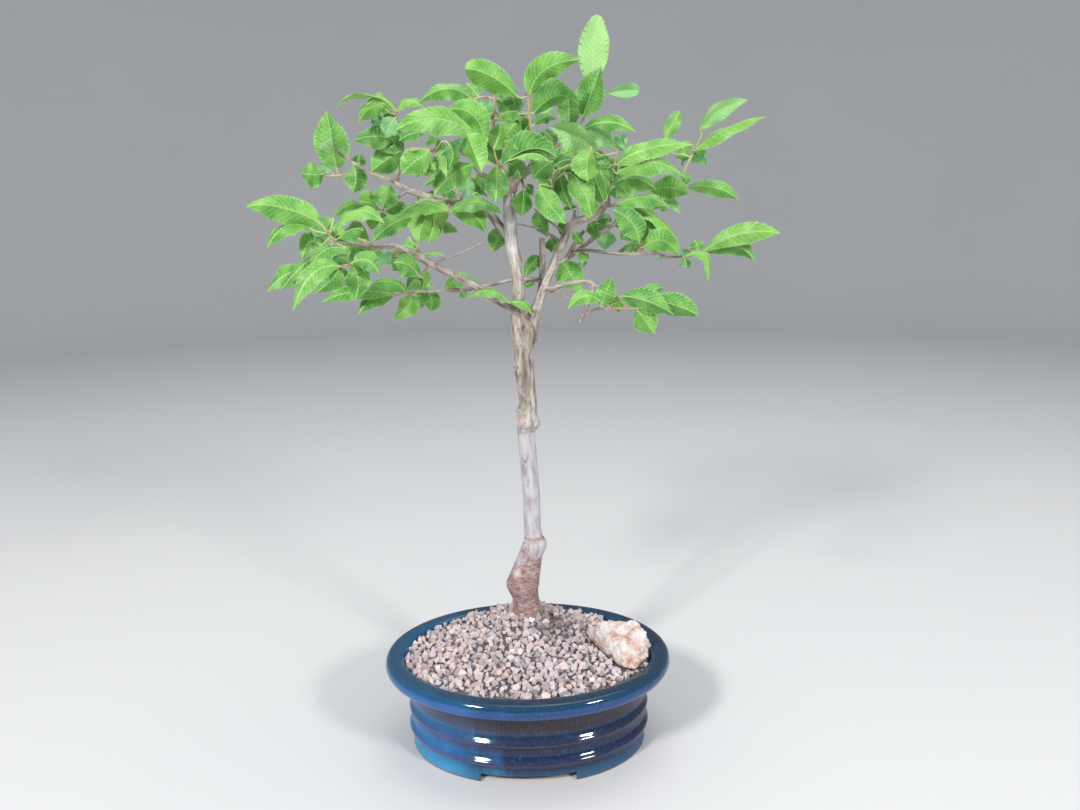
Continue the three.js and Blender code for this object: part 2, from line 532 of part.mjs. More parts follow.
// Shoots that fill the far side of the crown, with their leaves placed by a rule
const BACK_SHOOTS = {
  back_top: [[509, 204, 34], [505, 190, 66], [498, 176, 98], [492, 164, 126]],
  back_high: [[494, 110, 54], [499, 116, 80], [506, 120, 104]],
  back_centre: [[548, 155, 39], [556, 156, 70], [563, 152, 100], [568, 148, 124]],
  back_right: [[598, 211, 54], [601, 200, 84], [606, 188, 112], [608, 180, 134]],
  back_far_right: [[626, 205, 47], [640, 200, 78], [650, 194, 106]],
  back_right_low: [[640, 254, 38], [645, 244, 66], [652, 238, 92]],
  back_left: [[454, 203, 52], [458, 190, 80], [462, 178, 108]],
  back_left_mid: [[418, 193.5, 61], [418, 203, 86], [416, 212, 112]],
  back_left_high: [[395, 182.5, 68], [400, 166, 92], [406, 156, 116]],
  back_left_end: [[372, 245, -22], [362, 240, 8], [352, 236, 38]],
};
const BACK_LEAVES = 4;

function alongStem(stem, share) {
  const place = share * (stem.length - 1);
  const k = Math.min(Math.floor(place), stem.length - 2);
  const part = place - k;
  return stem[k].map((value, i) => value + (stem[k + 1][i] - value) * part);
}

function backLeaves(stem, draw) {
  const rows = [];
  for (let i = 0; i < BACK_LEAVES; i += 1) {
    const [column, row, depth] = alongStem(stem, 0.45 + (0.55 * i) / (BACK_LEAVES - 1));
    const turn = Math.PI * (i % 2) + 1.6 * (draw() - 0.5);
    const length = 20 + 8 * draw();
    const across = length * Math.cos(turn);
    const down = length * Math.sin(turn) * 0.8 + 3;
    const deeper = 8 + 22 * draw();
    const width = 17 + 4 * draw();
    rows.push([
      column + 0.25 * across, row + 0.25 * down, column + 0.7 * across, row + 0.6 * down - 4,
      column + 1.2 * across, row + 1.2 * down, width, 50 + 30 * draw(), depth + 2, depth + deeper,
    ]);
  }
  return rows;
}

// Points of a leaf's edge: the share of its length and of its half width. Every second one is a tooth
const LONG_EDGE = [[0.15, 0.76], [0.34, 1], [0.4, 0.85], [0.66, 0.8], [0.72, 0.58]];
const SHORT_EDGE = [[0.25, 0.9], [0.48, 1], [0.56, 0.76]];
const RIB_PLACE = 0.45;

function nearestOnStem(stem, spot) {
  let best = stem[0];
  for (let k = 0; k + 1 < stem.length; k += 1) {
    const edge = new THREE.Line3(stem[k], stem[k + 1]);
    const near = edge.closestPointToPoint(spot, true, new THREE.Vector3());
    if (near.distanceTo(spot) < best.distanceTo(spot)) best = near;
  }
  return best;
}

// One leaf with its stalk, slid along its sight lines by slide, as one closed body
function leaf(row, slide, grow, stem) {
  const [baseX, baseY, midX, midY, tipX, tipY, width, tilt, baseDepth, tipDepth] = row;
  const base = seen(baseX, baseY, baseDepth + slide);
  const middle = seen(midX, midY, (baseDepth + tipDepth) / 2 + slide);
  const tip = seen(tipX, tipY, tipDepth + slide);
  const pull = middle.clone().multiplyScalar(2).addScaledVector(base, -0.5).addScaledVector(tip, -0.5);
  const rib = new THREE.QuadraticBezierCurve3(base, pull, tip);
  const run = rib.getTangent(0.5);
  const across = run.clone().cross(middle.clone().sub(EYE)).normalize();
  const lean = across.clone().multiplyScalar(across.dot(SKY) > 0 ? 1 : -1);
  const angle = THREE.MathUtils.degToRad(tilt);
  const face = run.clone().cross(across).multiplyScalar(Math.cos(angle)).addScaledVector(lean, Math.sin(angle));
  const edge = base.distanceTo(tip) > LONG_LEAF ? LONG_EDGE : SHORT_EDGE;
  const fold = THREE.MathUtils.degToRad(FOLD);
  const half = BLADE / 2 + grow;
  const points = [];
  const faces = [];
  const place = (at, share, hand, level) => {
    const way = rib.getTangent(at);
    const side = face.clone().cross(way).normalize();
    const normal = way.clone().cross(side);
    const reach = share * width / 2 + grow * Math.abs(hand);
    points.push(rib.getPoint(at)
      .addScaledVector(side, hand * reach * Math.cos(fold))
      .addScaledVector(normal, Math.abs(hand) * reach * Math.sin(fold) + level * half));
    return points.length - 1;
  };
  const under = place(0, 0, 0, -1);
  const ribs = [1, -1].map((level) => place(RIB_PLACE, 0, 0, level));
  const end = place(1, 0, 0, 0);
  const roots = [1, -1].map((hand) => {
    const root = place(0, 2 * PETIOLE.blade / width, hand, 1);
    const tops = [root, ...edge.map(([at, share]) => place(at, share, hand, 1)), end];
    const bottoms = [under, ...edge.map(([at, share]) => place(at, share, hand, -1)), end];
    const put = (a, b, c) => faces.push(hand > 0 ? [a, b, c] : [a, c, b]);
    for (let k = 0; k + 1 < tops.length; k += 1) {
      put(tops[k + 1], tops[k], ribs[0]);
      put(bottoms[k], bottoms[k + 1], ribs[1]);
      put(tops[k], bottoms[k + 1], bottoms[k]);
      if (k + 2 < tops.length) put(tops[k], tops[k + 1], bottoms[k + 1]);
    }
    return root;
  });
  faces.push([roots[0], roots[1], ribs[0]]);
  const root = stem ? nearestOnStem(stem, base) : base.clone().addScaledVector(rib.getTangent(0), -1);
  addStalk(points, faces, [roots[0], under, roots[1]], rib.getTangent(0), root, grow);
  return solidOf(points, faces);
}

// The stalk carries the blade's three base corners back to its root, round a bend where the
// root lies ahead of the blade's base
function addStalk(points, faces, corners, out, root, grow) {
  const centre = new THREE.Vector3();
  corners.forEach((i) => centre.addScaledVector(points[i], 1 / 3));
  const spots = [{ at: root, radius: PETIOLE.root }];
  if (centre.clone().sub(root).normalize().dot(out) < PETIOLE.turn) {
    spots.unshift({ at: centre.clone().addScaledVector(out, -PETIOLE.bend), radius: PETIOLE.blade });
  }
  let ring = corners;
  let before = centre;
  let lead = out;
  spots.forEach((spot, k) => {
    const way = before.clone().sub(spot.at).normalize();
    const cut = k + 1 < spots.length ? way.clone().add(spot.at.clone().sub(root).normalize()).normalize() : way;
    const next = [];
    ring.forEach((i) => {
      const off = points[i].clone().sub(before);
      off.addScaledVector(lead, -off.dot(lead));
      off.addScaledVector(cut, -off.dot(cut)).setLength(spot.radius + grow);
      points.push(spot.at.clone().add(off));
      next.push(points.length - 1);
    });
    for (let i = 0; i < 3; i += 1) {
      const j = (i + 1) % 3;
      faces.push([ring[i], ring[j], next[j]], [ring[i], next[j], next[i]]);
    }
    ring = next;
    before = spot.at;
    lead = cut;
  });
  faces.push(ring);
}

const material = (color, roughness, metalness = 0) => new THREE.MeshStandardMaterial({ color, roughness, metalness });
const FINISH = {
  glaze: material('#1d2b3d', 0.18),
  gravel: material('#8d8078', 0.95),
  stone: material('#d9cdbb', 0.85),
  bark: material('#a59a8c', 0.9),
  leaf: material('#6fae3c', 0.55),
};

const wood = makeWood(0);
const woodRoom = makeWood(REST_GAP);
const soil = makeSoil().subtract(woodRoom).subtract(makeStone(STONE_ROOM));

const tree = new THREE.Group();
tree.add(meshOf('pot', makePot(), FINISH.glaze));
tree.add(meshOf('gravel', soil, FINISH.gravel));
tree.add(meshOf('stone', makeStone(0), FINISH.stone));
tree.add(meshOf('wood', wood, FINISH.bark));

// Do two bodies share any room
function crosses(body, other) {
  const a = body.boundingBox();
  const b = other.boundingBox();
  const apart = [0, 1, 2].some((i) => a.min[i] > b.max[i] || b.min[i] > a.max[i]);
  return !apart && body.intersect(other).volume() > TOUCH;
}

// The part of a stem's line that stands clear of the wood, where stalks can start
function clearLine(line) {
  const [start, next] = line;
  const length = start.distanceTo(next);
  for (let along = STEM.base; along < length; along += STEM.base / 2) {
    const spot = start.clone().lerp(next, along / length);
    const past = start.clone().lerp(next, (along + STEM.base) / length);
    const test = limb([{ at: spot, radius: STEM.base }, { at: past, radius: STEM.base }], 0, 4);
    if (!crosses(test, woodRoom)) return [past, ...line.slice(1)];
  }
  return line.slice(1);
}

// Every stem first, and then the leaves, each slid to the first place that is clear
const draw = drawer(7);
const shoots = Object.entries(SHOOTS).map(([name, shoot]) => ({ name, ...shoot }));
for (const [name, stem] of Object.entries(BACK_SHOOTS)) {
  shoots.push({ name, stem, leaves: backLeaves(stem, draw) });
}
for (const shoot of shoots) {
  const last = shoot.stem.length - 1;
  shoot.line = shoot.stem.map((spot) => seen(...spot));
  const route = shoot.line.map((at, k) => ({ at, radius: STEM.base + (STEM.tip - STEM.base) * (k / last) }));
  const end = route[last].at;
  const way = end.clone().sub(route[last - 1].at).normalize();
  route[last] = { at: end.clone().addScaledVector(way, STEM.past), radius: STEM.tip };
  shoot.body = whole(limb(route, 0, 4).subtract(woodRoom));
  shoot.room = [limb(route, REST_GAP, 4)];
  shoot.line = clearLine(shoot.line);
}

for (const shoot of shoots) {
  const others = shoots.filter((other) => other !== shoot).flatMap((other) => other.room);
  const blades = [];
  for (const row of shoot.leaves) {
    const fits = (slide) => {
      const room = leaf(row, slide, REST_GAP, shoot.line);
      return !crosses(room, woodRoom) && !others.some((other) => crosses(room, other));
    };
    const alone = (slide) => !blades.some((blade) => crosses(leaf(row, slide, 0), blade));
    const slide = SLIDES.find((step) => fits(step) && alone(step)) ?? SLIDES.find(fits) ?? 0;
    blades.push(leaf(row, slide, 0));
    shoot.body = shoot.body.add(leaf(row, slide, 0, shoot.line));
    shoot.room.push(leaf(row, slide, REST_GAP, shoot.line));
  }
  tree.add(meshOf(`leaves_${shoot.name}`, whole(shoot.body), FINISH.leaf));
}

// The origin is under the middle of the whole plan
const room = new THREE.Box3().setFromObject(tree);
const middle = room.getCenter(new THREE.Vector3());
tree.position.set(-middle.x, -middle.y, -room.min.z);

export default tree;
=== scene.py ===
"""A Korean hornbeam bonsai in an oval glazed pot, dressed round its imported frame.

The tree is placed by sight lines, as its solids are: a place in a 1080 x 810 frame and a depth in
millimetres behind the pot's middle give a point in space. All meshes are in metres.
"""
import math

import bmesh
import bpy
import numpy as np
from mathutils import Matrix, Vector


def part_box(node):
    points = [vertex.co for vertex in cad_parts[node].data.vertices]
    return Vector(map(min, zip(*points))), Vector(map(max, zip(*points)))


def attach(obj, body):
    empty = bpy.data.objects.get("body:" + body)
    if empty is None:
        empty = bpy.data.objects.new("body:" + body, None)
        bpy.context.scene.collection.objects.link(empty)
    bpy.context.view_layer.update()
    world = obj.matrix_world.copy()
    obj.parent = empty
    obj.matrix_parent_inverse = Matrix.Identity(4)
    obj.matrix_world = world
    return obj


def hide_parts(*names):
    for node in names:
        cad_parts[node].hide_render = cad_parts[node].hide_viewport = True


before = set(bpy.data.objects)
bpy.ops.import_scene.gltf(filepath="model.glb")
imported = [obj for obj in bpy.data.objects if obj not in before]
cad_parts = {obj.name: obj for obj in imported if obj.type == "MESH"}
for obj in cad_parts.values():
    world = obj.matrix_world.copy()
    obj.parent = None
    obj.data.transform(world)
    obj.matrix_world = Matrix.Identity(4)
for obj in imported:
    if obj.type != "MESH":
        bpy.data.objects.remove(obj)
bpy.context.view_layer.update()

MM = 0.001
IMAGE = (1080, 810)
FOCAL = 800
PITCH = math.radians(11.54)
ROLL = math.radians(-0.95)
POT_LOW, POT_HIGH = (np.array(corner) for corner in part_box("pot"))
POT_MIDDLE = (POT_LOW + POT_HIGH) / 2 * [1, 1, 0]
EYE = POT_MIDDLE + np.array([12.5, -562, 376]) * MM

# Directions of the frame's right and upper edges, and straight ahead
AHEAD = np.array([0, math.cos(PITCH), -math.sin(PITCH)])
LEVEL_UP = np.array([0, math.sin(PITCH), math.cos(PITCH)])
RIGHT = np.array([math.cos(ROLL), 0, 0]) + math.sin(ROLL) * LEVEL_UP
UP = np.array([-math.sin(ROLL), 0, 0]) + math.cos(ROLL) * LEVEL_UP

# The pot, in mm: half its length and width at the rim, the gap in its foot, and the parts without glaze
POT_HALF = (108, 81)
POT_SIDES = 176
FOOT_GAP = (68, 6.2)
DRAIN = {"radius": 6, "places": (-42, 42), "middle": 13, "length": 20}
BARE = {"half": (84, 57), "hollow": 17, "foot": 0.8}

# The tree's routes: places in the frame, a depth and a radius in mm
TRUNK = [
    (527.2, 664, 38, 9), (527.2, 640, 38, 13), (527.2, 622, 38, 12.2), (527.2, 612, 38, 11.5),
    (525.3, 595, 38, 10.8), (523.6, 583, 38, 12.6), (526.4, 570, 38, 11.2), (531, 553, 38, 9.3),
    (534.6, 544, 38, 9), (533.2, 536, 38, 7.4), (532.5, 523, 38, 6.8), (531.5, 498, 38, 6.7),
    (529.7, 474, 38, 6.4), (527.5, 450, 38, 6.6), (526, 432, 38, 7), (527.5, 423, 38, 8.7),
    (526.8, 415, 38, 7.9), (528, 402, 38, 6.7), (525.4, 384, 38, 7), (523.8, 367, 38, 7.3),
    (523.8, 352, 38, 7.1), (525.2, 336, 38, 8.8), (525.6, 324, 39, 7), (525.8, 318, 40, 4),
]

LIMBS = {
    "left_leader": [
        (523, 345, 38, 6.4), (519.5, 330, 38, 6.2), (518, 313, 38, 5.5), (518.5, 294, 37, 4.7),
        (517, 275, 36, 4.7), (516, 262, 35, 4.9), (512.5, 249, 34, 4.8), (510.5, 236, 34, 4.7),
        (509.8, 218, 34, 4.6), (509, 200, 34, 4.3), (509.4, 187, 34, 3.9),
    ],
    "right_leader": [
        (529, 340, 39, 5.4), (532.5, 325, 40.5, 4.5), (536, 312, 43, 4.1), (539.8, 300, 46, 3.3),
        (544, 288, 48, 3.2), (549, 275, 50, 3.1), (554.5, 262, 52, 3.1), (560, 249, 53, 3.1),
        (565.5, 236.5, 54, 3.1), (573, 224, 55, 3.1), (589, 217, 55, 2.7), (598, 211, 54, 2.4),
        (609, 203, 51, 2.1),
    ],
    "right_leader_end": [(604, 206, 52, 1.6), (620, 205, 49, 1.4), (632, 205.5, 46, 1.2)],
    "middle_stub": [
        (528, 324, 42, 4.2), (537, 304, 52, 3.1), (541, 288, 58, 2.5), (542, 262, 60, 2.4),
        (542, 238, 62, 2.1),
    ],
    "upper_left": [
        (511, 238, 34, 3.2), (500.7, 228, 38, 3.4), (486.4, 211.8, 44, 2.9), (454.3, 203, 52, 2.6),
        (427.5, 196.6, 58, 2.3), (406, 189.5, 64, 2.2), (391.8, 180.5, 70, 1.9), (369, 171.6, 77, 1.8),
        (352.5, 162.7, 83, 1.5),
    ],
    "upper_left_tip": [(355, 164, 82, 1), (337, 151.5, 88, 0.72), (325, 142, 91, 0.56)],
    "upper_left_side": [(407, 190.5, 64, 1.4), (395, 200, 60, 1), (383, 208, 55, 0.88)],
    "upper_left_rise": [(397.5, 184, 68, 1.4), (399.5, 172, 65, 0.96), (401.6, 160, 62, 0.88)],
    "lower_left": [
        (517, 312, 37, 3.7), (508, 306.7, 33, 3.1), (491, 296.5, 28, 2.8), (478, 287.6, 23, 2.7),
        (456.6, 276.7, 15, 2.6), (440, 268.4, 8, 2.5), (418.6, 257.3, -2, 2.3), (400.7, 248.4, -10, 2.1),
        (388, 245.7, -16, 2), (365, 244.8, -25, 1.4), (345, 243.6, -33, 1.1), (336, 242.5, -36, 0.96),
    ],
    "lower_left_side": [
        (385, 246, -17, 1.3), (377.5, 249.3, -21, 1), (366, 256, -28, 0.96), (354.3, 263.6, -38, 0.8),
    ],
    "lower_left_bare": [
        (433, 265, 5, 1.1), (446, 258.5, 0, 0.72), (462, 253, -5, 0.64), (481, 243, -12, 0.64),
    ],
    "low_thin": [
        (541, 280, 58, 1.8), (526, 279, 58, 1.5), (509.6, 280.5, 57, 1.4), (486, 286, 54, 1.4),
        (468.6, 289.5, 51, 1.2), (443.6, 291.3, 46, 1), (420, 291.5, 41, 0.96),
    ],
    "low_thin_spur": [(488, 286, 54, 0.96), (488, 303, 52, 0.72)],
    "right_low": [
        (543, 290, 48, 2.2), (549.7, 288.8, 44, 2), (567.6, 283.7, 34, 1.8), (586.7, 281.8, 22, 1.8),
        (594, 285.6, 18, 1.6), (601, 288, 14, 1.3),
    ],
    "right_low_cut": [(592, 284.5, 19, 1.5), (591, 295, 14, 1.3), (586, 309, 9, 1.2), (579, 322, 4, 1.2)],
    "right_low_twig": [
        (583, 317, 5.5, 1.1), (590, 312, 0, 0.88), (597, 309, -6, 0.8), (605, 308, -10, 0.8),
    ],
    "right_mid_dark": [
        (554, 265, 52, 2.1), (566, 259, 58, 1.9), (580, 249, 64, 1.8), (597, 235.5, 71, 1.8),
        (614.5, 224, 78, 1.5),
    ],
    "right_mid_stub": [(567, 258, 59, 1.6), (577, 240, 66, 1.5), (584, 231, 69, 1.4)],
    "right_mid_thin": [
        (579, 250, 63, 1.5), (590.5, 250.6, 57, 1.3), (618.6, 253.8, 46, 1.2), (640, 254, 38, 1.1),
        (657.6, 253.5, 31, 1), (670, 257, 27, 0.96), (690, 255.5, 20, 0.8),
    ],
    "behind_low": [(562, 242, 54, 1.1), (541, 229.6, 64, 0.8), (516.7, 223.5, 72, 0.72)],
    "behind_high": [(567, 235, 55, 1.1), (548, 220, 66, 0.8), (534, 208.5, 74, 0.72)],
    "right_stub": [(573, 223, 55, 1.4), (575, 210, 56, 1)],
    "top_left": [
        (509, 190, 34, 2.2), (498, 182, 28, 1.5), (486, 177.5, 20, 1.4), (474, 166, 10, 1.2),
        (470, 156.5, 5, 1.1), (455, 153.5, -6, 0.96), (437, 152, -18, 0.88),
    ],
    "top_back": [
        (509, 190, 36, 2.1), (501, 165, 42, 1.2), (495, 140, 48, 1.2), (493, 122, 52, 1.2),
        (494, 97, 56, 1.2),
    ],
    "top_centre": [
        (510, 191, 34, 2.2), (521, 178, 30, 1.5), (532, 162, 24, 1.4), (534, 150, 20, 1.2),
        (533, 143, 17, 1),
    ],
    "top_right": [(520, 179, 30, 1.4), (540, 164, 36, 1.2), (551, 152, 40, 1), (557, 146, 42, 0.96)],
    "trunk_scar": [(521, 411, 37, 2.6), (517.5, 409, 35, 2)],
    "trunk_knob": [(521, 368, 36, 3.4), (515.4, 367, 33, 2.4)],
    "leader_head": [(509, 192, 34, 4.4), (509.5, 186, 34, 4.8), (511, 179, 33, 4.2), (513, 173, 32, 2.6)],
    "leader_head_side": [
        (512, 184, 33, 2.6), (520, 178, 31, 2.3), (527, 172, 29, 1.9), (531, 166, 28, 1.4),
    ],
    "low_twig": [(551, 291, 45, 1.3), (560, 293.5, 40, 1), (572, 298.5, 33, 0.9)],
}

# Spots on the bark: column, row, depth, reach across and up, shares of rust, dark and moss, lump, in mm.
# Moss below nothing means bare white. The dark spots in the fork are painted shade, and the bare white on
# the left leader is painted light
BARK_MARKS = [
    (519.5, 416.5, 31, 5, 2.8, 0.55, 0.1, 0, 0.4), (523, 409, 31, 5, 3.4, 0.1, 0, 0.5, 0.3),
    (537.5, 423, 37, 4, 3.2, 0.4, 0, 0, 1.3), (527, 426.5, 38, 20, 0.8, 0.1, 0.5, 0, -0.2),
    (527, 430.5, 38, 20, 0.8, 0.1, 0.4, 0, -0.2), (525.5, 461.5, 32, 2, 2, 0.2, 0.6, 0, 0),
    (529, 501, 32, 3, 5, 0.45, 0, 0, 0), (533, 536.5, 38, 20, 1.1, 0.5, 0.3, 0, -0.3),
    (543, 544, 36, 4.5, 4.5, 0.35, 0, -0.3, 1.1), (511, 584, 36, 5, 6, 0.2, 0, 0, 1.6),
    (516, 573.5, 29, 5, 3.6, 0, 0, -0.6, 0.3), (538.5, 559, 33, 2.2, 2.2, 0, 0.9, 0, 0),
    (530.5, 341, 32, 2.6, 7, 0, 0, 0.4, 0), (515.5, 366, 37, 3, 3.5, 0.1, 0.2, 0, 0.8),
    (524.5, 375, 31, 3.6, 17, 0, 0.4, 0, 0), (340, 154, 86, 5, 5, 0, 0.9, 0, 0),
    (510, 190, 34, 9, 2, 0.75, 0.3, 0, 0.4), (511, 180, 33, 7, 5, 0.3, 0, 0, 0),
    # At 527.5, 323: a rusty scar in the fork, whose dark is painted shade
    (527.5, 323, 36, 2.8, 6, 0.5, 1, 0, 0), (542, 240, 62, 4, 3, 0.2, 0, 0, 0),
    (580, 320, 5, 4, 3, 0.15, 0, 0, 0), (497, 130, 50, 8, 30, 0.3, 0.5, 0, 0),
    (524, 348, 31, 2.2, 7, 0, 0.2, 0, -0.2), (524.5, 362, 31, 2.2, 7, 0, 0.22, 0, -0.2),
    (525, 376, 31, 2.2, 7, 0, 0.22, 0, -0.2), (527, 390, 31, 2.2, 7, 0, 0.2, 0, -0.2),
    # Painted shade: dark down the cleft between the two leaders, over its groove
    (522.5, 330, 31, 1.6, 8, 0, 0.6, 0, -0.5), (523, 318, 31, 1.8, 7, 0, 0.7, 0, -0.6),
    (528, 322, 31, 1.6, 4, 0.7, 0.3, 0, 0.3), (562, 295, 40, 8, 5, 0.15, 0.3, 0, 0),
    # Painted light: bare white down the left leader, where it stands lit among the leaves
    (509.5, 228, 31, 6, 26, 0, 0, -0.6, 0),
]
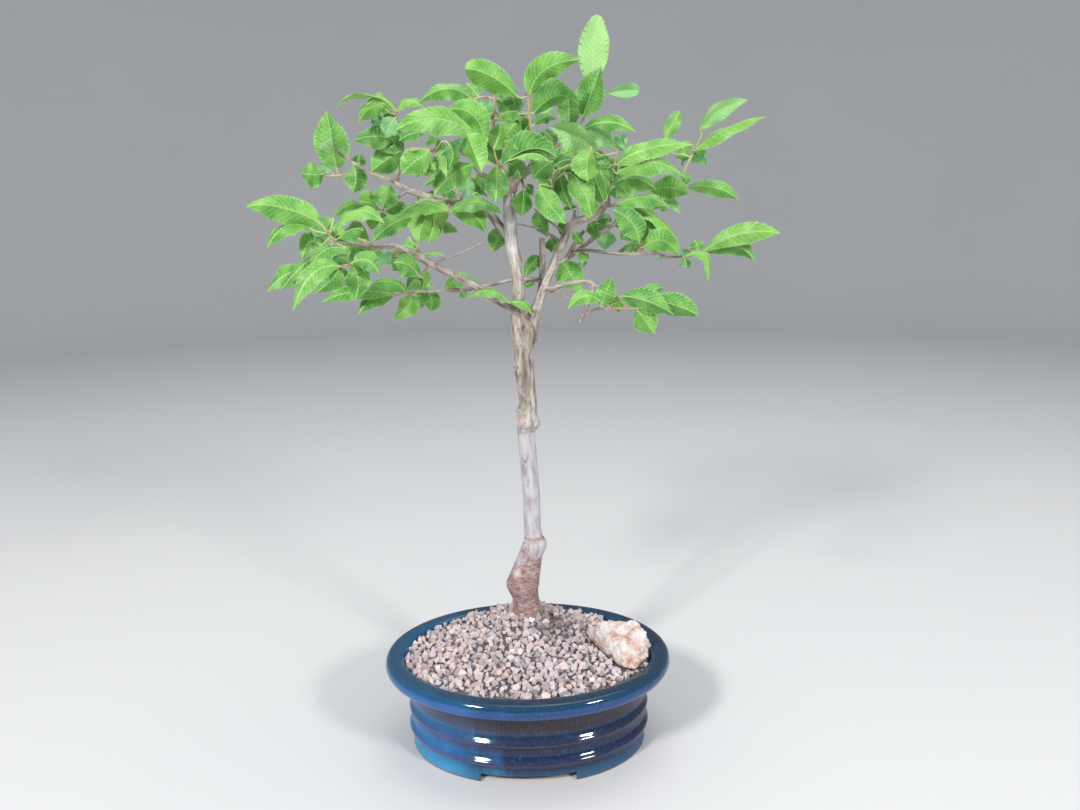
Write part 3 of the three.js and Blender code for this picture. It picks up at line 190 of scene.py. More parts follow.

# Leafy shoots: places and depths along the stem, then a row for each leaf. It gives the places of base,
# middle and tip in the frame, width in mm, tilt in degrees, the depths of base and tip, and may end with
# its shade, from dark to light, and with the belly and the sharpness of its outline. The shade is partly
# the leaf's own tone and partly painted shade: leaves deep in the crown are given darker greens
SHOOTS = {
    "left_end": ([(336, 242.5, -36), (332, 238, -37.5), (329, 234, -38.5)], [
        (318, 222, 284, 209.5, 246.5, 206.5, 20, 8, -41, -56, 0.7, 0.66, 0.05),
        (311, 229, 287, 226.5, 267, 248, 15, 60, -42, -50, 0.62),
        (332, 219, 324, 231, 317.5, 247, 18, 170, -30, -34, 0.75),
        (333, 229, 357, 212, 384, 223, 14, 55, -42, -46, 0.6),
        (339, 238, 351, 230, 364, 231, 15, 35, -40, -44, 0.5),
        (316, 257, 303, 266, 280, 291.5, 11, 40, -38, -50, 0.6),
        (345, 248.5, 325, 251, 310, 270, 13, 40, -44, -54, 0.5),
        (318, 244, 309, 243, 302, 260, 14, 10, -36, -40, 0.45),
    ]),
    "left_side": ([(354.3, 263.6, -38), (345, 265, -41), (334, 267, -44), (325, 268.5, -46)], [
        (305, 270, 286, 275.5, 268, 291.5, 16, 25, -38, -44, 0.5),
        (338, 266, 312, 276, 293, 311, 15, 22, -59, -70, 0.62),
        (338, 269, 331, 281, 315, 294, 16, 15, -42, -40, 0.6),
        (352, 264, 358, 280, 356, 300, 18, 0, -42, -46, 0.55),
        (354, 262, 368, 261, 379, 274, 15, 20, -48, -46, 0.5),
        (342, 268, 341, 274, 338.5, 281, 8, 10, -40, -38, 0.5),
        (350, 263, 341, 258, 331, 262, 12, 30, -40, -42, 0.5),
    ]),
    "left_under": ([(420, 291.5, 41), (408, 293, 38), (397, 295, 35), (392, 296, 33)], [
        (393, 294, 357, 293, 321.5, 302.5, 13, 25, 30, 14, 0.5),
        (395, 295, 376, 298, 358, 314.5, 15, 15, 34, 24, 0.5),
        (407, 293, 391, 282.5, 367, 286, 12, 30, 40, 42, 0.45),
        (411, 294, 408, 306, 393, 320, 17, 5, 36, 24, 0.75, 0.75),
        (426, 291, 432, 301, 430, 312, 16, 10, 48, 44, 0.5),
        (418, 291, 422, 300, 420, 309, 11, 20, 52, 52, 0.45),
        (423, 290, 427, 285, 433, 288.5, 8, 40, 44, 42, 0.6),
    ]),
    "left_hanging": ([(428, 263, 2), (427, 268, 0), (424, 272, -2), (419, 276, -4)], [
        (419, 276, 409, 266, 393, 263, 18, 15, -12, -20, 0.45),
        (417, 278, 411, 284, 407, 291, 16, 20, -4, 4, 0.5),
        (420, 277, 424, 281, 421, 290, 12, 10, -2, 4, 0.5),
    ]),
    "left_below": ([(399, 248, -11), (397, 253, -9), (394, 257, -8)], [
        (395, 253, 387, 257, 382, 267, 12, 150, -8, -6, 0.5),
        (400, 257, 397, 265, 391, 271, 12, 30, -4, 2, 0.45),
        (398, 256, 408, 256, 416, 262, 12, 60, 4, 8, 0.45),
        (402, 251, 396, 255, 388, 262, 12, 20, -2, 0, 0.7),
    ]),
    "left_above": ([(420, 258, -1), (419, 251, 0), (416, 245, 2)], [
        (416, 249, 408, 246, 401, 246, 11, 40, 3, 6, 0.45),
        (416, 245, 412, 241, 409, 236, 10, 30, 4, 8, 0.5),
        (419, 252, 413, 253, 406, 250, 10, 60, 2, 3, 0.35),
        (424, 255, 434, 253, 445, 256, 6, 60, 0, -4, 0.45),
    ]),
    "upper_left_side": ([(383, 208, 55), (376, 211, 50), (369, 213.5, 45)], [
        (371, 209, 352, 205, 333, 217, 16, 35, 40, 22, 0.45),
        (383, 207, 386, 196, 390, 184, 19, 5, 49, 54, 0.5),
        (371, 207, 368, 198, 370, 190, 14, 10, 52, 56, 0.6),
        (381, 210, 370, 203, 358, 205, 12, 55, 52, 46, 0.6),
        (379, 212, 374, 221, 372, 230, 13, 15, 48, 50, 0.8),
        (385, 211, 394, 207, 405, 202, 11, 30, 63, 68, 0.45),
        (384, 213, 381, 220, 377, 228, 10, 30, 56, 58, 0.5),
        (357, 222, 354, 243, 345, 265.5, 22, 5, 48, 40, 0.5),
    ]),
    "upper_left_front": ([(449, 202, 53), (449, 207, 48), (444, 211, 44), (432, 213, 40)], [
        (450, 210, 427, 219, 419, 245.5, 31, 5, 42, 30, 0.75, 0.8),
        (451, 212, 471, 214, 486, 234.5, 18, 10, 38, 28, 0.68),
        (451, 211, 476, 203, 503, 214, 16, 42, 32, 26, 0.55),
        (413, 216, 392, 225, 373, 241.5, 16, 28, 42, 30, 0.42),
        (446, 210, 421, 204, 399, 216, 14, 42, 28, 24, 0.5),
        (434, 224, 432, 233, 429, 243, 12, 20, 38, 34, 0.5),
        (440, 224, 449, 226, 458, 233, 11, 40, 52, 54, 0.42),
    ]),
    "low_pair": ([(462, 290, 50), (454, 288.5, 46), (447, 289, 44)], [
        (446, 288, 460, 279, 479, 285, 13, 30, 40, 46, 0.55),
        (460, 291, 464, 294, 465, 299, 8, 20, 47, 46, 0.6),
    ]),
    "far_left": ([(362, 168.5, 79), (350, 173, 76), (336, 176, 73), (316, 175, 71)], [
        (336.5, 168, 331.5, 140, 326.5, 111, 29, 0, 84, 104, 0.6, 0.92),
        (323, 174, 313, 175, 301, 174, 20, 8, 68, 60, 0.55),
        (353, 165, 356, 178, 352.5, 193.5, 19, 0, 70, 60, 0.25),
        (360, 166, 359, 160, 361, 153, 13, 10, 102, 106, 0.3),
        (333, 172, 326, 167, 320, 165, 9, 150, 74, 76, 0.5),
    ]),
    "upper_left_tuft": ([
        (401.6, 160, 62), (402.9, 146, 58), (400, 132, 54), (397, 120, 51), (397, 114, 50),
    ], [
        (384, 100, 355, 94.5, 336, 109.5, 9, 112, 44, 34, 0.85),
        (395, 109, 382, 98.5, 366, 106, 17, 50, 48, 42, 0.6),
        (389, 112, 374, 107, 358, 123.5, 18, 35, 46, 38, 0.6),
        (395, 138, 375, 137, 354, 140.5, 18, 15, 52, 40, 0.3),
        (395, 118, 389, 128, 385.5, 138, 15, 170, 48, 44, 0.5),
        (395, 116, 388, 113, 381, 111, 10, 150, 54, 58, 0.5),
        (396, 112, 408, 101.5, 424, 108, 10, 50, 48, 44, 0.7),
        (400, 151, 386, 161, 371, 172.5, 21, 5, 58, 50, 0.5),
        (380, 113, 376, 120, 374, 128, 9, 160, 52, 54, 0.5),
        (404, 140, 396, 134, 384, 138, 13, 25, 50, 46, 0.4),
        (403, 141, 394, 146, 383, 152, 12, 20, 54, 52, 0.45),
        (424, 133, 412, 134, 399, 141, 12, 30, 46, 42, 0.4),
    ]),
    "top_left_end": ([(437, 152, -18), (424, 149, -25), (410, 151, -31)], [
        (429, 152, 415, 162, 402, 174, 19, 5, -28, -34, 0.6),
        (436, 155, 434, 165, 428, 176, 11, 30, -20, -24, 0.6),
        (439, 140, 446, 159, 446, 179, 12, 20, -20, -26, 0.65),
        (447, 142, 453, 154, 449, 168, 14, 20, -28, -30, 0.2),
        (441, 146, 436, 138, 428, 134, 14, 60, -14, -6, 0.4),
        (430, 155, 431, 163, 436, 170, 9, 20, -24, -26, 0.6),
    ]),
    "top_left_front": ([(473, 164, 8), (471, 155, 0), (469, 146, -8), (468, 138, -14)], [
        (474, 135, 438, 120.5, 396, 130, 20, 28, -18, -40, 0.68),
        (467, 133, 473, 150, 482, 173, 21, -30, -20, -30, 0.7),
        (484, 138, 472, 115, 447, 110, 19, -5, -8, -14, 0.65),
        (464, 138, 460, 146, 457, 153, 13, 165, -6, -2, 0.5),
        (473, 164, 452, 176, 434, 195, 19, 22, -8, -18, 0.6),
    ]),
    "left_inner": ([(460, 204, 50), (462, 196, 44), (466, 188, 40), (471, 181, 37)], [
        (469, 178, 467, 187, 466, 197, 15, 160, 36, 36, 0.5),
        (474, 178, 480, 186, 482, 195, 16, 20, 42, 44, 0.5),
        (457, 197, 446, 191, 437, 193, 11, 40, 42, 40, 0.4),
        (457, 186, 440, 178, 421, 189, 8, 50, 38, 32, 0.4),
        (475, 176, 487, 182, 497, 190, 12, 20, 30, 30, 0.4),
    ]),
    "top_front": ([(507, 189, 32), (503, 178, 20), (500, 168, 10), (496, 159, 4), (494, 150, 0)], [
        (496, 167, 497, 185, 495.5, 202.5, 18, 0, 4, -4, 0.5),
        (503, 165, 530, 150, 557, 158, 20, -40, 4, -6, 0.38),
        (508, 163, 516, 168, 521, 179, 18, 10, 12, 10, 0.35),
        (494, 149, 499, 136, 500, 122, 15, 10, -2, 2, 0.65),
        (503, 139, 511, 129, 518, 119, 17, 10, 12, 18, 0.5),
        (500, 143, 509, 142, 518, 150, 12, 30, 4, 0, 0.6),
        (516, 158, 534, 154, 549, 162, 9, 50, 2, -4, 0.7),
        (490, 138, 494, 151, 497, 166, 15, 10, 12, 10, 0.4),
    ]),
    "top_back_left": ([(494, 100, 56), (487, 97, 56), (478, 98, 55)], [
        (471, 98, 447, 90, 418, 103, 15, 30, 52, 44, 0.5),
        (478, 96, 472, 89, 466, 83, 16, 15, 60, 66, 0.4),
        (489, 117, 486, 108, 481, 99, 14, 160, 50, 46, 0.5),
        (497, 99, 506, 104, 513, 112, 14, 20, 62, 70, 0.35),
    ]),
    "top_centre": ([(533, 143, 17), (531, 130, 12), (529, 112, 8), (528, 96, 5), (527, 86, 4)], [
        (518, 97, 494, 79, 465.5, 69, 20, 8, 4, -6, 0.7, 1.15, -0.3),
        (530, 94, 545, 70.5, 581, 60, 19, -8, 2, -6, 0.65, 0.82),
        (534, 113, 556, 97, 579, 105, 22, -38, 6, -4, 0.4),
        (526, 117, 512, 112, 498, 119, 11, 50, 14, 18, 0.5),
        (512, 111, 514, 101, 509, 93, 17, 20, 22, 28, 0.4),
        (529, 125, 523, 133, 519, 143, 12, 20, 20, 24, 0.2),
        (534, 124, 546, 117, 558, 119, 10, 40, 16, 20, 0.35),
        (531, 120, 512, 125, 503, 141, 14, 20, 40, 40, 0.4),
        (533, 108, 543, 113, 552, 108, 10, 30, 30, 34, 0.35),
    ]),
    "top_right": ([
        (557, 146, 42), (568, 137, 40), (578, 128, 38), (584, 117, 36), (590, 100, 34), (592, 87, 33),
    ], [
        (583, 116, 591, 94, 602, 66, 22, 5, 30, 26, 0.5),
        (593, 84, 593.5, 48, 598.5, 15, 22.5, 178, 34, 40, 0.88, 0.8, -0.1),
        (584, 129, 608, 123, 635, 132, 13, 25, 34, 24, 0.5),
        (569, 126, 569, 108, 567, 92, 18, 5, 42, 48, 0.35),
        (602, 94, 621, 91.5, 639, 90.5, 10.5, 170, 38, 42, 0.7, 1.7, -0.3),
        (553, 147, 549, 136, 540, 132, 14, 30, 52, 56, 0.4),
        (575, 133, 586, 137, 594, 148, 11, 30, 42, 44, 0.5),
    ]),
    "right_top": ([(609, 203, 51), (608.6, 192, 46), (612, 175, 38), (616, 158, 32), (617.5, 149, 30)], [
        (617, 165, 646, 150.5, 694, 145, 16, 25, 28, 14, 0.7),
        (617, 173, 650, 163.5, 683, 176, 18, 28, 30, 12, 0.65),
        (613, 147, 602, 134, 586, 128, 17, 150, 28, 24, 0.65),
        (613, 147, 620, 141, 628, 137, 14, 150, 34, 32, 0.5),
        (596, 152, 575, 135, 549, 127, 22, 148, 24, 14, 0.7),
        (597, 162, 582, 153, 566, 156, 14, 50, 34, 36, 0.4),
        (613, 184, 633, 179, 656, 190, 20, 25, 40, 40, 0.62),
        (616, 187, 617, 193, 616, 199, 14, 10, 40, 38, 0.4),
        (613, 180, 608, 163, 590, 151, 17, 35, 36, 30, 0.35),
        (606, 198, 603, 178, 592, 160, 12, 30, 34, 30, 0.5),
    ]),
    "right_shoot": ([
        (632, 205.5, 46), (650, 201, 52), (668, 194, 58), (682, 184, 62), (684, 172, 62), (689, 161, 62),
        (694, 151, 62), (699, 141, 62), (702, 134, 62),
    ], [
        (700, 129, 718, 112.5, 748, 100, 14, 155, 60, 52, 0.75),
        (694, 151, 727, 130, 767, 117, 12.5, 40, 58, 46, 0.72),
        (694, 150, 701, 156, 706, 166, 16, 150, 64, 66, 0.5),
        (690, 158, 683, 154, 676, 158, 16, 30, 66, 68, 0.35),
        (686, 187, 713, 188.5, 739, 200, 13, 10, 56, 44, 0.58, 1.1),
        (650, 191, 668, 188, 688, 194, 18, 5, 46, 36, 0.68, 1.05),
        (684, 184, 686, 178, 680, 174, 10, 30, 58, 56, 0.5),
        (617, 204, 643, 198, 670, 207, 14, 42, 30, 20, 0.6),
        (634, 208, 656, 219, 681, 245, 14, 48, 40, 26, 0.65),
        (636, 213, 652, 220, 670, 232, 13, 40, 46, 40, 0.4),
        (663, 144, 671, 128, 680, 111.5, 11.5, 0, 66, 70, 0.6, 1.35, -0.3),
        (693, 149, 689, 143, 682, 145, 8, 40, 58, 54, 0.5),
        (664, 201, 673, 203, 680, 214, 9, 150, 50, 46, 0.5),
    ]),
    "right_mid": ([(638, 254, 39), (639, 248, 37), (640, 242, 35)], [
        (639, 241, 632, 224, 613, 210, 20, 15, 22, 18, 0.35),
        (644, 247, 662, 241, 679, 256, 18, -5, 24, 8, 0.6),
        (634, 229, 627, 234, 621, 240, 15, 20, 38, 42, 0.5),
        (640, 243, 645, 236, 642, 226, 12, 20, 40, 44, 0.3),
        (640, 238, 634, 224, 632, 210, 12, 20, 30, 28, 0.25),
    ]),
    "right_end": ([(690, 255.5, 20), (698, 252.5, 16), (704, 249.5, 13)], [
        (704, 251, 738, 236, 780, 233.5, 16, 8, 10, -6, 0.7, 1.15),
        (707, 252, 736, 247.5, 755, 263, 13, 10, 12, 4, 0.2),
        (698, 250, 697, 245, 694, 240, 12, 10, 20, 24, 0.45),
        (689, 255, 705, 257, 708, 281, 10, 45, 8, -2, 0.6),
        (683, 258, 686, 262, 686, 268, 11, 20, 12, 8, 0.5),
        (690, 252, 686, 251, 682, 249, 8, 150, 20, 18, 0.5),
    ]),
    "right_low": ([(605, 308, -10), (618, 308.5, -16), (630, 308.5, -22), (643, 308, -28)], [
        (601, 305, 606, 293, 612, 278, 15, 0, -12, -16, 0.55, 0.72),
        (600, 301, 585, 296.5, 568, 309, 11, 20, -12, -20, 0.6),
        (600, 302, 590, 297, 581, 294, 10, 40, 6, 8, 0.6),
        (622, 296, 646, 302, 674, 315, 18, 0, -26, -38, 0.4),
        (647, 299, 671, 305, 697, 315, 17, 0, -18, -26, 0.4, 1.15, -0.2),
        (646, 296, 654, 290, 664, 288, 12, 10, -10, -6, 0.35),
        (637, 309, 645, 321, 655, 334, 18, 0, -26, -34, 0.5),
        (610, 306, 617, 303, 626, 302, 13, 20, -10, -8, 0.3),
    ]),
    "centre": ([(540, 164, 36), (547, 172, 30), (553, 180, 26), (553, 187, 24)], [
        (570, 173, 581, 187, 592, 216, 20, 0, 18, 10, 0.55),
        (591, 150, 587, 165, 588, 182, 20, 15, 10, 0, 0.75),
        (552, 161, 543, 168, 532, 179, 20, 0, 22, 18, 0.3),
        (552, 189, 546, 184, 538, 186, 12, 30, 26, 20, 0.6),
        (540, 187, 549, 205, 566, 224, 18, 8, 16, 8, 0.55),
        (565, 168, 573, 170, 580, 178, 14, 20, 20, 14, 0.2),
        (572, 160, 563, 161, 553, 167, 12, 20, 34, 34, 0.15),
        (550, 158, 561, 163, 570, 176, 14, 20, 40, 38, 0.3),
        (560, 170, 562, 188, 572, 210, 13, 10, 30, 26, 0.4),
    ]),
    "right_inner": ([(598, 211, 54), (603, 206, 46), (602, 199, 40)], [
        (604, 201, 598, 187, 592, 168, 18, 5, 32, 28, 0.5),
        (601, 202, 593, 194, 584, 197, 10, 40, 40, 36, 0.4),
        (588, 196, 590, 207, 590, 219, 15, 10, 30, 28, 0.75),
    ]),
    "middle_right": ([(568, 258, 59), (572, 254, 54), (577, 253, 52)], [
        (578, 254, 584, 256, 590, 259, 12, 40, 50, 48, 0.5),
        (563, 262, 571, 276, 582, 290, 23, 10, 54, 56, 0.55),
        (580, 259, 583, 263, 582, 269, 9, 150, 56, 56, 0.5),
    ]),
    "top_inner": ([(521, 178, 30), (523, 184, 27), (524, 190, 26)], [
        (523, 190, 523, 203, 521, 217, 16, 5, 25, 20, 0.45),
        (526, 186, 531, 190, 533, 196, 9, 20, 28, 30, 0.4),
    ]),
    "behind_leader": ([(500.7, 228, 38), (500, 229, 44), (500, 228, 49)], [
        (500, 228, 497, 240, 493, 252.5, 16, 5, 50, 54, 0.5),
    ]),
    "behind_high": ([(536, 210, 73), (537, 210, 77)], [
        (538, 211, 541, 223, 548, 237, 14, 10, 78, 82, 0.35),
    ]),
    "behind_low": ([(551, 235.3, 59), (551, 237, 63)], [
        (551, 238, 553, 246, 552, 253, 13, 10, 64, 66, 0.5),
    ]),
    "low_leader": ([(514, 303, 37), (510, 302, 29), (507, 301.5, 27)], [
        (510, 303, 491, 291.5, 467, 299, 10, 48, 21, 14, 0.6),
        (509, 303, 522, 303, 532, 315, 9, 40, 28, 24, 0.65),
    ]),
    "right_mid_up": ([(614.5, 224, 78), (618, 221.5, 80), (621, 219.5, 81.5)], [
        (609, 231, 606, 240, 605, 250, 18, 170, 86, 84, 0.6),
        (612, 227, 600, 224, 590, 228, 12, 30, 86, 82, 0.4),
        (614, 226, 622, 222, 630, 226, 12, 30, 92, 96, 0.4),
    ]),
    "stub_spur": ([(542, 262, 60), (541, 259, 60.5), (540.5, 256, 61)], [
        (541, 257, 532, 264, 525, 277, 12, 15, 62, 58, 0.5),
    ]),
    "thin_spur": ([(534, 279.5, 58.5), (533.9, 280.2, 58.3), (534, 281, 58)], [
        (534, 281, 529, 283, 523, 288, 7, 30, 58, 58, 0.5),
    ]),
    "inner_spur": ([(573, 224, 55), (572, 229, 60), (571, 233, 63)], [
        (568, 236, 564, 228, 560, 218, 10, 20, 62, 64, 0.4),
        (574, 232, 578, 238, 583, 245, 9, 20, 62, 62, 0.5),
        (577, 207, 570, 206, 561, 211, 6, 40, 60, 60, 0.4),
    ]),
    "inner_right": ([(609, 203, 51), (603, 212, 58), (597, 220, 62)], [
        (590, 222, 594, 230, 600, 238, 11, 20, 62, 62, 0.45),
        (596, 222, 604, 218, 612, 222, 11, 30, 62, 60, 0.4),
    ]),
}

# Stems of the far side, whose leaves are drawn by back_leaves
BACK_SHOOTS = {
    "back_top": [(509, 204, 34), (505, 190, 66), (498, 176, 98), (492, 164, 126)],
    "back_high": [(494, 110, 54), (499, 116, 80), (506, 120, 104)],
    "back_centre": [(548, 155, 39), (556, 156, 70), (563, 152, 100), (568, 148, 124)],
    "back_right": [(598, 211, 54), (601, 200, 84), (606, 188, 112), (608, 180, 134)],
    "back_far_right": [(626, 205, 47), (640, 200, 78), (650, 194, 106)],
    "back_right_low": [(640, 254, 38), (645, 244, 66), (652, 238, 92)],
    "back_left": [(454, 203, 52), (458, 190, 80), (462, 178, 108)],
    "back_left_mid": [(418, 193.5, 61), (418, 203, 86), (416, 212, 112)],
    "back_left_high": [(395, 182.5, 68), (400, 166, 92), (406, 156, 116)],
    "back_left_end": [(372, 245, -22), (362, 240, 8), (352, 236, 38)],
}

# Corners of the rock: places in the frame and depths in mm
STONE_CORNERS = [
    (584, 632, 12), (606, 650, -11), (625, 667.5, -30), (636, 669, -31), (648, 656, -21), (650, 645, -9),
    (597, 623, 3), (610, 621.6, 6), (634.5, 620, 2), (645, 632, -8), (622, 640, -15), (640, 650, -22),
    (600, 632, 22), (630, 628, 20), (645, 640, 6), (612, 662, -9), (634, 660, -6),
]

# Leaves on each far shoot
BACK_LEAVES = 4
# How much deeper some leaves of the far side sit, by their place on the shoot, in mm
BACK_SLIDES = {
    "back_right": {2: 6}, "back_far_right": {2: 6}, "back_left": {2: 24}, "back_left_mid": {3: 12},
    "back_left_end": {2: -6, 3: -30},
}
# The way that tilted leaves turn to: up and a little to the right
SKY = np.array([0.3, 0, 1])


def seen(column, row, depth):
    """The point seen at a place in the frame: eye plus the sight line x its reach for the depth."""
    column, row, depth = (np.asarray(value, float)[..., None] for value in (column, row, depth))
    way = AHEAD * FOCAL + RIGHT * (column - IMAGE[0] / 2) + UP * (IMAGE[1] / 2 - row)
    reach = (depth * MM + POT_MIDDLE[1] - EYE[1]) / way[..., 1:2]
    return EYE + way * reach


def unit(vectors):
    """Vectors over their own length."""
    return vectors / np.linalg.norm(vectors, axis=-1, keepdims=True)


def drawer(seed):
    """The seeded run of numbers between 0 and 1 that the solids use too."""
    state = seed
    while True:
        state = state * 48271 % 2147483647
        yield state / 2147483647


def waves(places, size, seed):
    """A smooth random field: twice the mean of sines along random directions, about size metres long."""
    count = 12
    rng = np.random.default_rng(seed)
    ways = unit(rng.normal(size=(count, 3))) * rng.uniform(0.6, 1.6, (count, 1)) * 2 * math.pi / size
    return np.sin(places @ ways.T + rng.uniform(0, 2 * math.pi, count)).mean(axis=-1) * 2


def quads_of(index):
    """Quads between the neighbours of a grid of point numbers, facing rows x columns."""
    corners = index[:-1, :-1], index[1:, :-1], index[1:, 1:], index[:-1, 1:]
    return np.stack(corners, axis=-1).reshape(-1, 4).tolist()


def ring_faces(rows, sides):
    """Quads between rings that climb, seen from outside, and a face over each end."""
    index = np.arange(rows * sides).reshape(rows, sides)
    faces = quads_of(np.hstack([index, index[:, :1]])[:, ::-1])
    return faces + [index[0, ::-1].tolist(), index[-1].tolist()]


def part_of(points, faces, marks=None, material=0):
    """A part of a mesh: its points, its faces in one material, and its marks by name."""
    return {
        "points": points.reshape(-1, 3),
        "faces": faces,
        "materials": [material] * len(faces),
        "marks": marks or {},
    }


def smooth_path(rows, step):
    """A Catmull-Rom curve through rows of numbers, a sample about every step along their first three."""
    rows = np.asarray(rows, float)
    length = np.linalg.norm(np.diff(rows[:, :3], axis=0), axis=1).sum()
    place = np.linspace(0, len(rows) - 1, max(int(length / step), 3) + 1)
    start = np.minimum(place.astype(int), len(rows) - 2)
    part = (place - start)[:, None]
    a, b, c, d = (rows[np.clip(start + k, 0, len(rows) - 1)] for k in (-1, 0, 1, 2))
    return 0.5 * (2 * b + (c - a) * part + (2 * a - 5 * b + 4 * c - d) * part ** 2
                  + (3 * b - a - 3 * c + d) * part ** 3)


def tube(points, radii, sides, ripple=None, material=0, marks=None):
    """Rings along a path, each point at the path's plus radius x (cosine, sine) of its angle.

    ripple(angle, along) gives a share to add to the radius. Both ends are closed. The mark grain tells
    where a point is across the tube and how far along it.
    """
    points, radii = np.asarray(points), np.asarray(radii, float)
    ways = unit(np.gradient(points, axis=0))
    reference = np.eye(3)[np.abs(ways.mean(axis=0)).argmin()]
    side = unit(np.cross(ways, reference))
    third = np.cross(ways, side)
    along = np.append(0, np.cumsum(np.linalg.norm(np.diff(points, axis=0), axis=1)))
    angle = np.linspace(0, 2 * math.pi, sides, endpoint=False)
    reach = radii[:, None] * np.ones(sides)
    if ripple:
        reach = reach * (1 + ripple(angle[None, :], along[:, None]))
    ring = side[:, None] * np.cos(angle)[:, None] + third[:, None] * np.sin(angle)[:, None]
    grain = np.stack([reach * np.cos(angle), reach * np.sin(angle), along[:, None] + 0 * reach], axis=-1)
    marks = {"grain": grain.reshape(-1, 3), **(marks or {})}
    rings = points[:, None] + ring * reach[..., None]
    return part_of(rings, ring_faces(len(points), sides), marks, material)


def mesh_of(name, parts, materials, crease):
    """One mesh of the parts, with their marks as attributes and sharp edges past the crease angle."""
    points, faces, numbers, start = [], [], [], 0
    marks = {key: [] for part in parts for key in part["marks"]}
    for part in parts:
        count = len(part["points"])
        points.append(part["points"])
        faces += [[corner + start for corner in face] for face in part["faces"]]
        numbers += part["materials"]
        for key, rows in marks.items():
            rows.append(np.broadcast_to(part["marks"].get(key, (0, 0, 0)), (count, 3)))
        start += count
    mesh = bpy.data.meshes.new(name)
    mesh.from_pydata(np.concatenate(points).tolist(), [], faces)
    for key, rows in marks.items():
        mark = mesh.attributes.new(key, "FLOAT_VECTOR", "POINT")
        mark.data.foreach_set("vector", np.concatenate(rows).astype(np.float32).ravel())
    for material in materials:
        mesh.materials.append(material)
    mesh.polygons.foreach_set("material_index", numbers)
    mesh.polygons.foreach_set("use_smooth", [True] * len(faces))
    mesh.set_sharp_from_angle(angle=math.radians(crease))
    return mesh


def piece(name, mesh, replaced=()):
    """An object at the origin that rides on the tree's only body and may stand for CAD nodes."""
    made = bpy.data.objects.new(name, mesh)
    bpy.context.scene.collection.objects.link(made)
    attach(made, "root")
    if replaced:
        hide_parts(*replaced)


# Finishes

def linear(hex_colour):
    """An sRGB hex colour as linear red, green and blue, with alpha 1."""
    parts = [int(hex_colour[i:i + 2], 16) / 255 for i in (1, 3, 5)]
    return [p / 12.92 if p <= 0.04045 else ((p + 0.055) / 1.055) ** 2.4 for p in parts] + [1]


def add(tree, kind, inputs=None, stops=(), out=None, **settings):
    """Adds a node with its settings, its inputs and its ramp's stops, and gives one of its outputs.

    An input is a number, a hex colour or another node's output. The output given is the one that out
    names, or else the first in use.
    """
    made = tree.nodes.new("ShaderNode" + kind)
    for name, value in settings.items():
        setattr(made, name, value)
    for key, value in (inputs or {}).items():
        if isinstance(value, bpy.types.NodeSocket):
            tree.links.new(value, made.inputs[key])
        else:
            made.inputs[key].default_value = linear(value) if isinstance(value, str) else value
    for k, (place, colour) in enumerate(stops):
        elements = made.color_ramp.elements
        stop = elements[k] if k < len(elements) else elements.new(place)
        stop.position = place
        stop.color = linear(colour)
    return made.outputs[out] if out else next(socket for socket in made.outputs if socket.enabled)


def finish(paint, *marks, **sockets):
    """The material that a paint function draws, with the shader's constant numbers on its sockets.

    The paint gets the tree, the place on the object and the three parts of each mesh attribute in marks.
    It gives a colour and a bump, or none, and its name is the material's.
    """
    made = bpy.data.materials.new(paint.__name__)
    made.use_nodes = True
    tree = made.node_tree
    shader = tree.nodes["Principled BSDF"]
    for socket, value in sockets.items():
        shader.inputs[socket.replace("_", " ")].default_value = value
    read = []
    for mark in marks:
        given = add(tree, "Attribute", out="Vector", attribute_name=mark)
        read.append(add(tree, "SeparateXYZ", {0: given}).node.outputs)
    colour, bump = paint(tree, add(tree, "TexCoord", out="Object"), *read)
    tree.links.new(colour, shader.inputs["Base Color"])
    if bump:
        tree.links.new(bump, shader.inputs["Normal"])
    return made


# A little of the light goes up to 2 mm into a leaf's flesh, green furthest
LEAF_FLESH = {
    "IOR": 1.42,
    "Subsurface_Weight": 0.12,
    "Subsurface_Scale": 0.002,
    "Subsurface_Radius": (0.5, 1, 0.25),
}


def leaf_upper_waxed(tree, spot, place, tint):
    """Hornbeam leaf from above: a waxed skin over green flesh, creased along paler sunk veins."""
    # The green follows the leaf's shade, which deep in the crown is partly painted shade
    green = add(tree, "ValToRGB", {0: tint[0]}, stops=(
        (0, "#276729"), (0.35, "#408838"), (0.65, "#5FA23E"), (1, "#96C857")))
    cloud = add(tree, "TexNoise", {"Vector": spot, "Scale": 110, "Detail": 4})
    cloud = add(tree, "MapRange", {0: cloud, 1: 0.35, 2: 0.65})
    dark = add(tree, "Mix", {0: 0.3, 6: green, 7: "#2A6B2A"}, data_type="RGBA")
    light = add(tree, "Mix", {0: 0.35, 6: green, 7: "#A2D06C"}, data_type="RGBA")
    green = add(tree, "Mix", {0: cloud, 6: dark, 7: light}, data_type="RGBA")
    # Veins about 3 mm apart, drawn 0.5 mm wide, broader than real ones, so that they show
    away = add(tree, "Math", {0: place[0], 1: 0.5}, operation="PINGPONG")
    vein = add(tree, "MapRange", {0: away, 1: 0.02, 2: 0.14, 3: 0.34, 4: 0})
    beside = add(tree, "Math", {0: place[1]}, operation="ABSOLUTE")
    rib = add(tree, "MapRange", {0: beside, 1: 0.1, 2: 0.45, 3: 0.7, 4: 0})
    line = add(tree, "Math", {0: vein, 1: rib}, operation="MAXIMUM")
    rim = add(tree, "MapRange", {0: place[2], 1: 0.86, 2: 1, 4: 0.4})
    line = add(tree, "Math", {0: line, 1: rim}, operation="MAXIMUM")
    colour = add(tree, "Mix", {0: line, 6: green, 7: "#B4D586"}, data_type="RGBA")
    fine = add(tree, "TexNoise", {"Vector": spot, "Scale": 900, "Detail": 2})
    height = add(tree, "Math", {0: fine, 1: 0.5, 2: vein}, operation="MULTIPLY_ADD")
    return colour, add(tree, "Bump", {"Strength": 0.35, "Distance": 0.0003, "Height": height}, invert=True)


